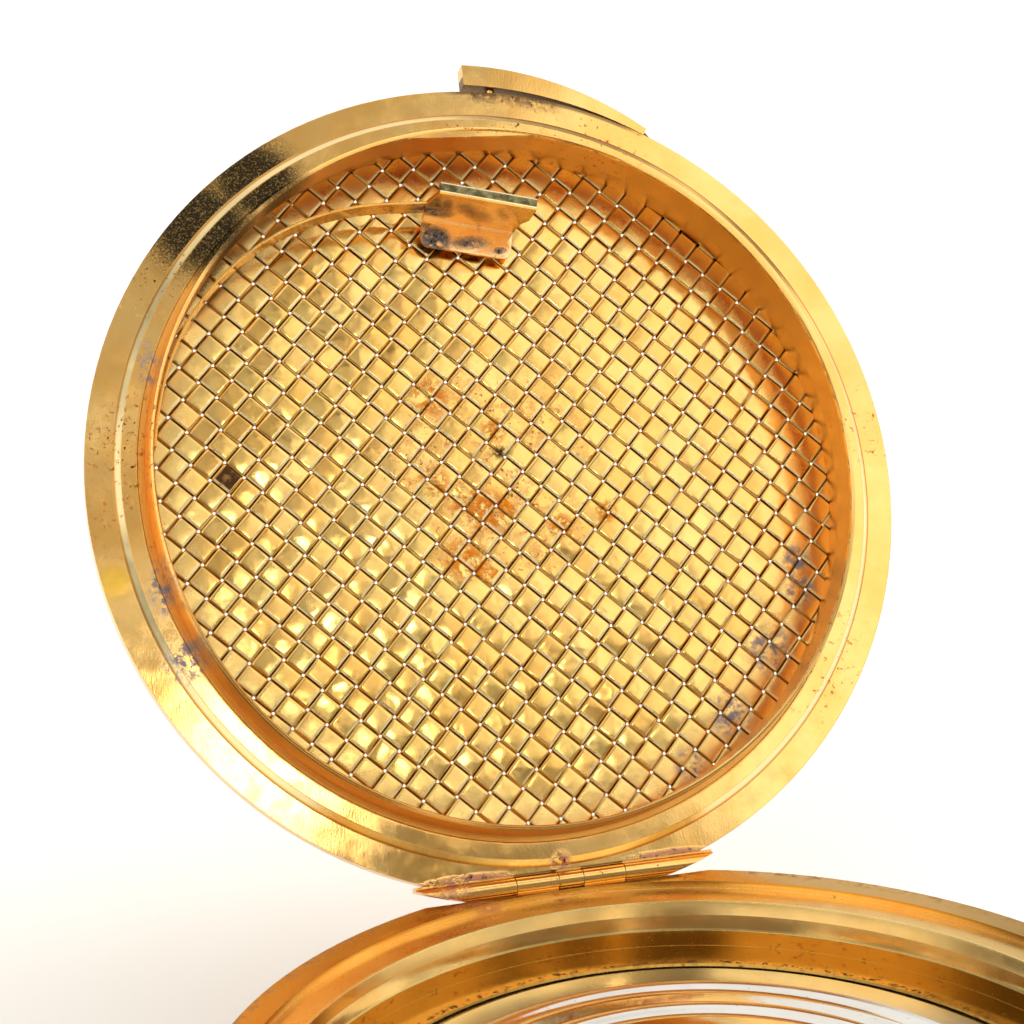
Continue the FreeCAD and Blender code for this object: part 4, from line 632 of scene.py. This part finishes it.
def ribbon(mesh, direction, line, random_cell):
    """One strip of the plain weave, over and under its neighbours, cut off by the round groove."""
    along = Vector((math.cos(direction), math.sin(direction), 0.0))
    across = Vector((-along.y, along.x, 0.0))
    lit_side = 1 if across.y > 0 else -1
    start = WEAVE_MIDDLE.dot(along)
    middle = line * PITCH + WEAVE_MIDDLE.dot(across) + PITCH / 2
    if abs(middle) > WEAVE_RADIUS - WIDTH * EDGE_MARGIN:
        return
    rings = []
    cells = int(WEAVE_RADIUS / PITCH) + 2
    for cell in range(-cells, cells):
        side = 1 if (cell + line) % 2 else -1
        lift, tilt, roll = (random_cell.uniform(-1, 1) for _ in range(3))
        for part in ALONG_CELL:
            u = start + (cell + part) * PITCH
            rise = plateau(part)
            height = WAVE * side * rise * (1 + LIFT * lift) + TILT * tilt * (part - 0.5) * rise
            dives = part < DIVE_END or part > 1 - DIVE_END
            level = LIT_END < part < 1 - LIT_END
            ring = []
            for a, t in SECTION:
                lit = level and t < 0 and LIT_EDGE[0] < a * lit_side < LIT_EDGE[1]
                in_groove = (dives or abs(a) > GROOVE_EDGE) and not lit
                v = middle + a * WIDTH
                limit = math.sqrt(max(0.0, WEAVE_RADIUS ** 2 - v * v))
                place = along * max(-limit, min(limit, u)) + across * v
                place.z = WEAVE_HEIGHT + height + HALF_THICKNESS * t + ROLL * roll * a * rise
                ring.append((place, float(in_groove), float(lit)))
            rings.append(ring)
    inside = [k for k, ring in enumerate(rings)
              if any(place.xy.length < WEAVE_RADIUS - 0.001 for place, _, _ in ring)]
    skin_rings(mesh, rings[max(0, inside[0] - 1):inside[-1] + 2])


def skin_rings(mesh, rings):
    """Joins the rings to a closed strip, and keeps each corner's groove and shine for the material."""
    layers = mesh.verts.layers.float
    groove = layers.get("groove") or layers.new("groove")
    shine = layers.get("shine") or layers.new("shine")
    corners = []
    for ring in rings:
        corners.append([])
        for place, in_groove, lit in ring:
            corner = mesh.verts.new(opened @ place * MM)
            corner[groove] = in_groove
            corner[shine] = lit
            corners[-1].append(corner)
    count = len(SECTION)
    for low, high in zip(corners, corners[1:]):
        for k in range(count):
            mesh.faces.new((low[k], low[(k + 1) % count], high[(k + 1) % count], high[k]))
    mesh.faces.new(list(reversed(corners[0])))
    mesh.faces.new(corners[-1])


def add_ribbons(name, turn, replaced):
    """All the ribbons of one direction, as one piece that rides on the cover."""
    random_cell = random.Random(name)
    lines = int(WEAVE_RADIUS / PITCH) + 1
    work = bmesh.new()
    for line in range(-lines - 1, lines + 1):
        ribbon(work, WEAVE_ANGLE + turn, line, random_cell)
    bmesh.ops.recalc_face_normals(work, faces=work.faces)
    mesh = bpy.data.meshes.new(name)
    work.to_mesh(mesh)
    work.free()
    mesh.shade_smooth()
    mesh.materials.append(slot_materials["woven_gold"])
    piece = bpy.data.objects.new(name, mesh)
    scene.collection.objects.link(piece)
    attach(piece, "cover")
    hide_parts(replaced)


add_ribbons("woven_warp", 0.0, "weave_warp")
add_ribbons("woven_weft", math.pi / 2, "weave_weft")

# ---------------------------------------------------------------- floor and light
FLOOR_SIZE = 12.0           # metres from its middle to a side
FLOOR_DROP = 0.00002        # metres below the watch
FLOOR_COLOURS = ((0.80, 0.775, 0.73), (0.83, 0.80, 0.755))
LIGHT_COLOUR = (1.0, 0.985, 0.96, 1.0)
SEEN_BRIGHTNESS = 1.15      # what the camera sees behind the object
SUN_PLACE = (0.9, 0.15, 1.0)
SUN_STRENGTH = 2.3
SUN_SOFTNESS = 50           # degrees across
PATCHES = [
    # azimuth, elevation, half angle, softness, brightness
    (-20, 18, 20, 8, 0.25), (25, 8, 14, 8, 0.3), (-48, 38, 22, 6, 1.5), (62, 45, 18, 6, 1.4),
    (90, 15, 16, 6, 1.4), (0, 78, 16, 8, 1.5), (180, 35, 30, 12, 1.0), (130, 20, 14, 6, 0.25),
    (-110, 15, 16, 8, 0.2), (30, 47, 7, 3, 1.5), (30, 33, 5, 3, 1.6), (8, 44, 3.5, 2, 0.6),
    (15, 30.0, 2.0, 0.6, 0.3), (18, 29.2, 1.2, 0.8, 0.3), (22.5, 28.8, 1.0, 0.7, 0.5),
    (11, 34.6, 2.3, 0.4, 7.0), (7.6, 37.6, 1.2, 0.5, 0.6), (7.4, 39.5, 0.8, 0.5, 1.1),
    (8.6, 44.2, 0.8, 0.5, 1.1), (15.2, 49.8, 2.0, 1.0, 0.10), (22, 55, 5, 3, 0.6)]


def add_floor():
    size = FLOOR_SIZE
    mesh = bpy.data.meshes.new("floor")
    mesh.from_pydata([(-size, -size, 0), (size, -size, 0), (size, size, 0), (-size, size, 0)], [],
                     [(0, 1, 2, 3)])
    floor = bpy.data.objects.new("floor", mesh)
    floor.location.z = -FLOOR_DROP
    scene.collection.objects.link(floor)
    s = Shader("floor", roughness=0.6)
    s.set("Base Color", s.mix(s.noise(0.02, 2.0), *FLOOR_COLOURS))
    mesh.materials.append(s.material)


def direction(azimuth, elevation):
    """The direction at degrees right of -Y and degrees above the horizon."""
    a, e = math.radians(azimuth), math.radians(elevation)
    return Vector((math.sin(a) * math.cos(e), -math.cos(a) * math.cos(e), math.sin(e)))


def add_world():
    """A light tent: white panels and dark gaps for the metal to mirror, plain white to the eye."""
    world = bpy.data.worlds.new("studio")
    world.use_nodes = True
    scene.world = world
    world.node_tree.nodes.clear()

    def node(kind, inputs, **settings):
        return add_node(world.node_tree, kind, inputs, settings).outputs

    seen = node("ShaderNodeTexCoord", {})["Generated"]
    cloud = node("ShaderNodeTexNoise", {"Vector": seen, "Scale": 3.5, "Detail": 3.0})["Fac"]
    level = node("ShaderNodeMapRange", {"Value": cloud, "From Min": 0.40, "From Max": 0.62,
                                        "To Min": 0.42, "To Max": 1.1},
                 interpolation_type="SMOOTHSTEP")[0]
    for azimuth, elevation, half, soft, bright in PATCHES:
        facing = node("ShaderNodeVectorMath", {0: seen, 1: direction(azimuth, elevation)},
                      operation="DOT_PRODUCT")["Value"]
        share = node("ShaderNodeMapRange",
                     {"Value": facing, "From Min": math.cos(math.radians(half + soft)),
                      "From Max": math.cos(math.radians(half))}, interpolation_type="SMOOTHSTEP")[0]
        level = node("ShaderNodeMix", {0: share, 2: level, 3: bright}, data_type="FLOAT")[0]
    eye = node("ShaderNodeLightPath", {})["Is Camera Ray"]
    level = node("ShaderNodeMix", {0: eye, 2: level, 3: SEEN_BRIGHTNESS}, data_type="FLOAT")[0]
    background = node("ShaderNodeBackground", {"Color": LIGHT_COLOUR, "Strength": level})
    node("ShaderNodeOutputWorld", {"Surface": background[0]})


def add_sun():
    """Soft light from above that the metal doesn't mirror."""
    data = bpy.data.lights.new("overhead", "SUN")
    data.energy = SUN_STRENGTH
    data.angle = math.radians(SUN_SOFTNESS)
    light = bpy.data.objects.new("overhead", data)
    light.rotation_euler = Vector(SUN_PLACE).to_track_quat("Z", "Y").to_euler()
    light.visible_glossy = False
    scene.collection.objects.link(light)


add_floor()
add_world()
add_sun()
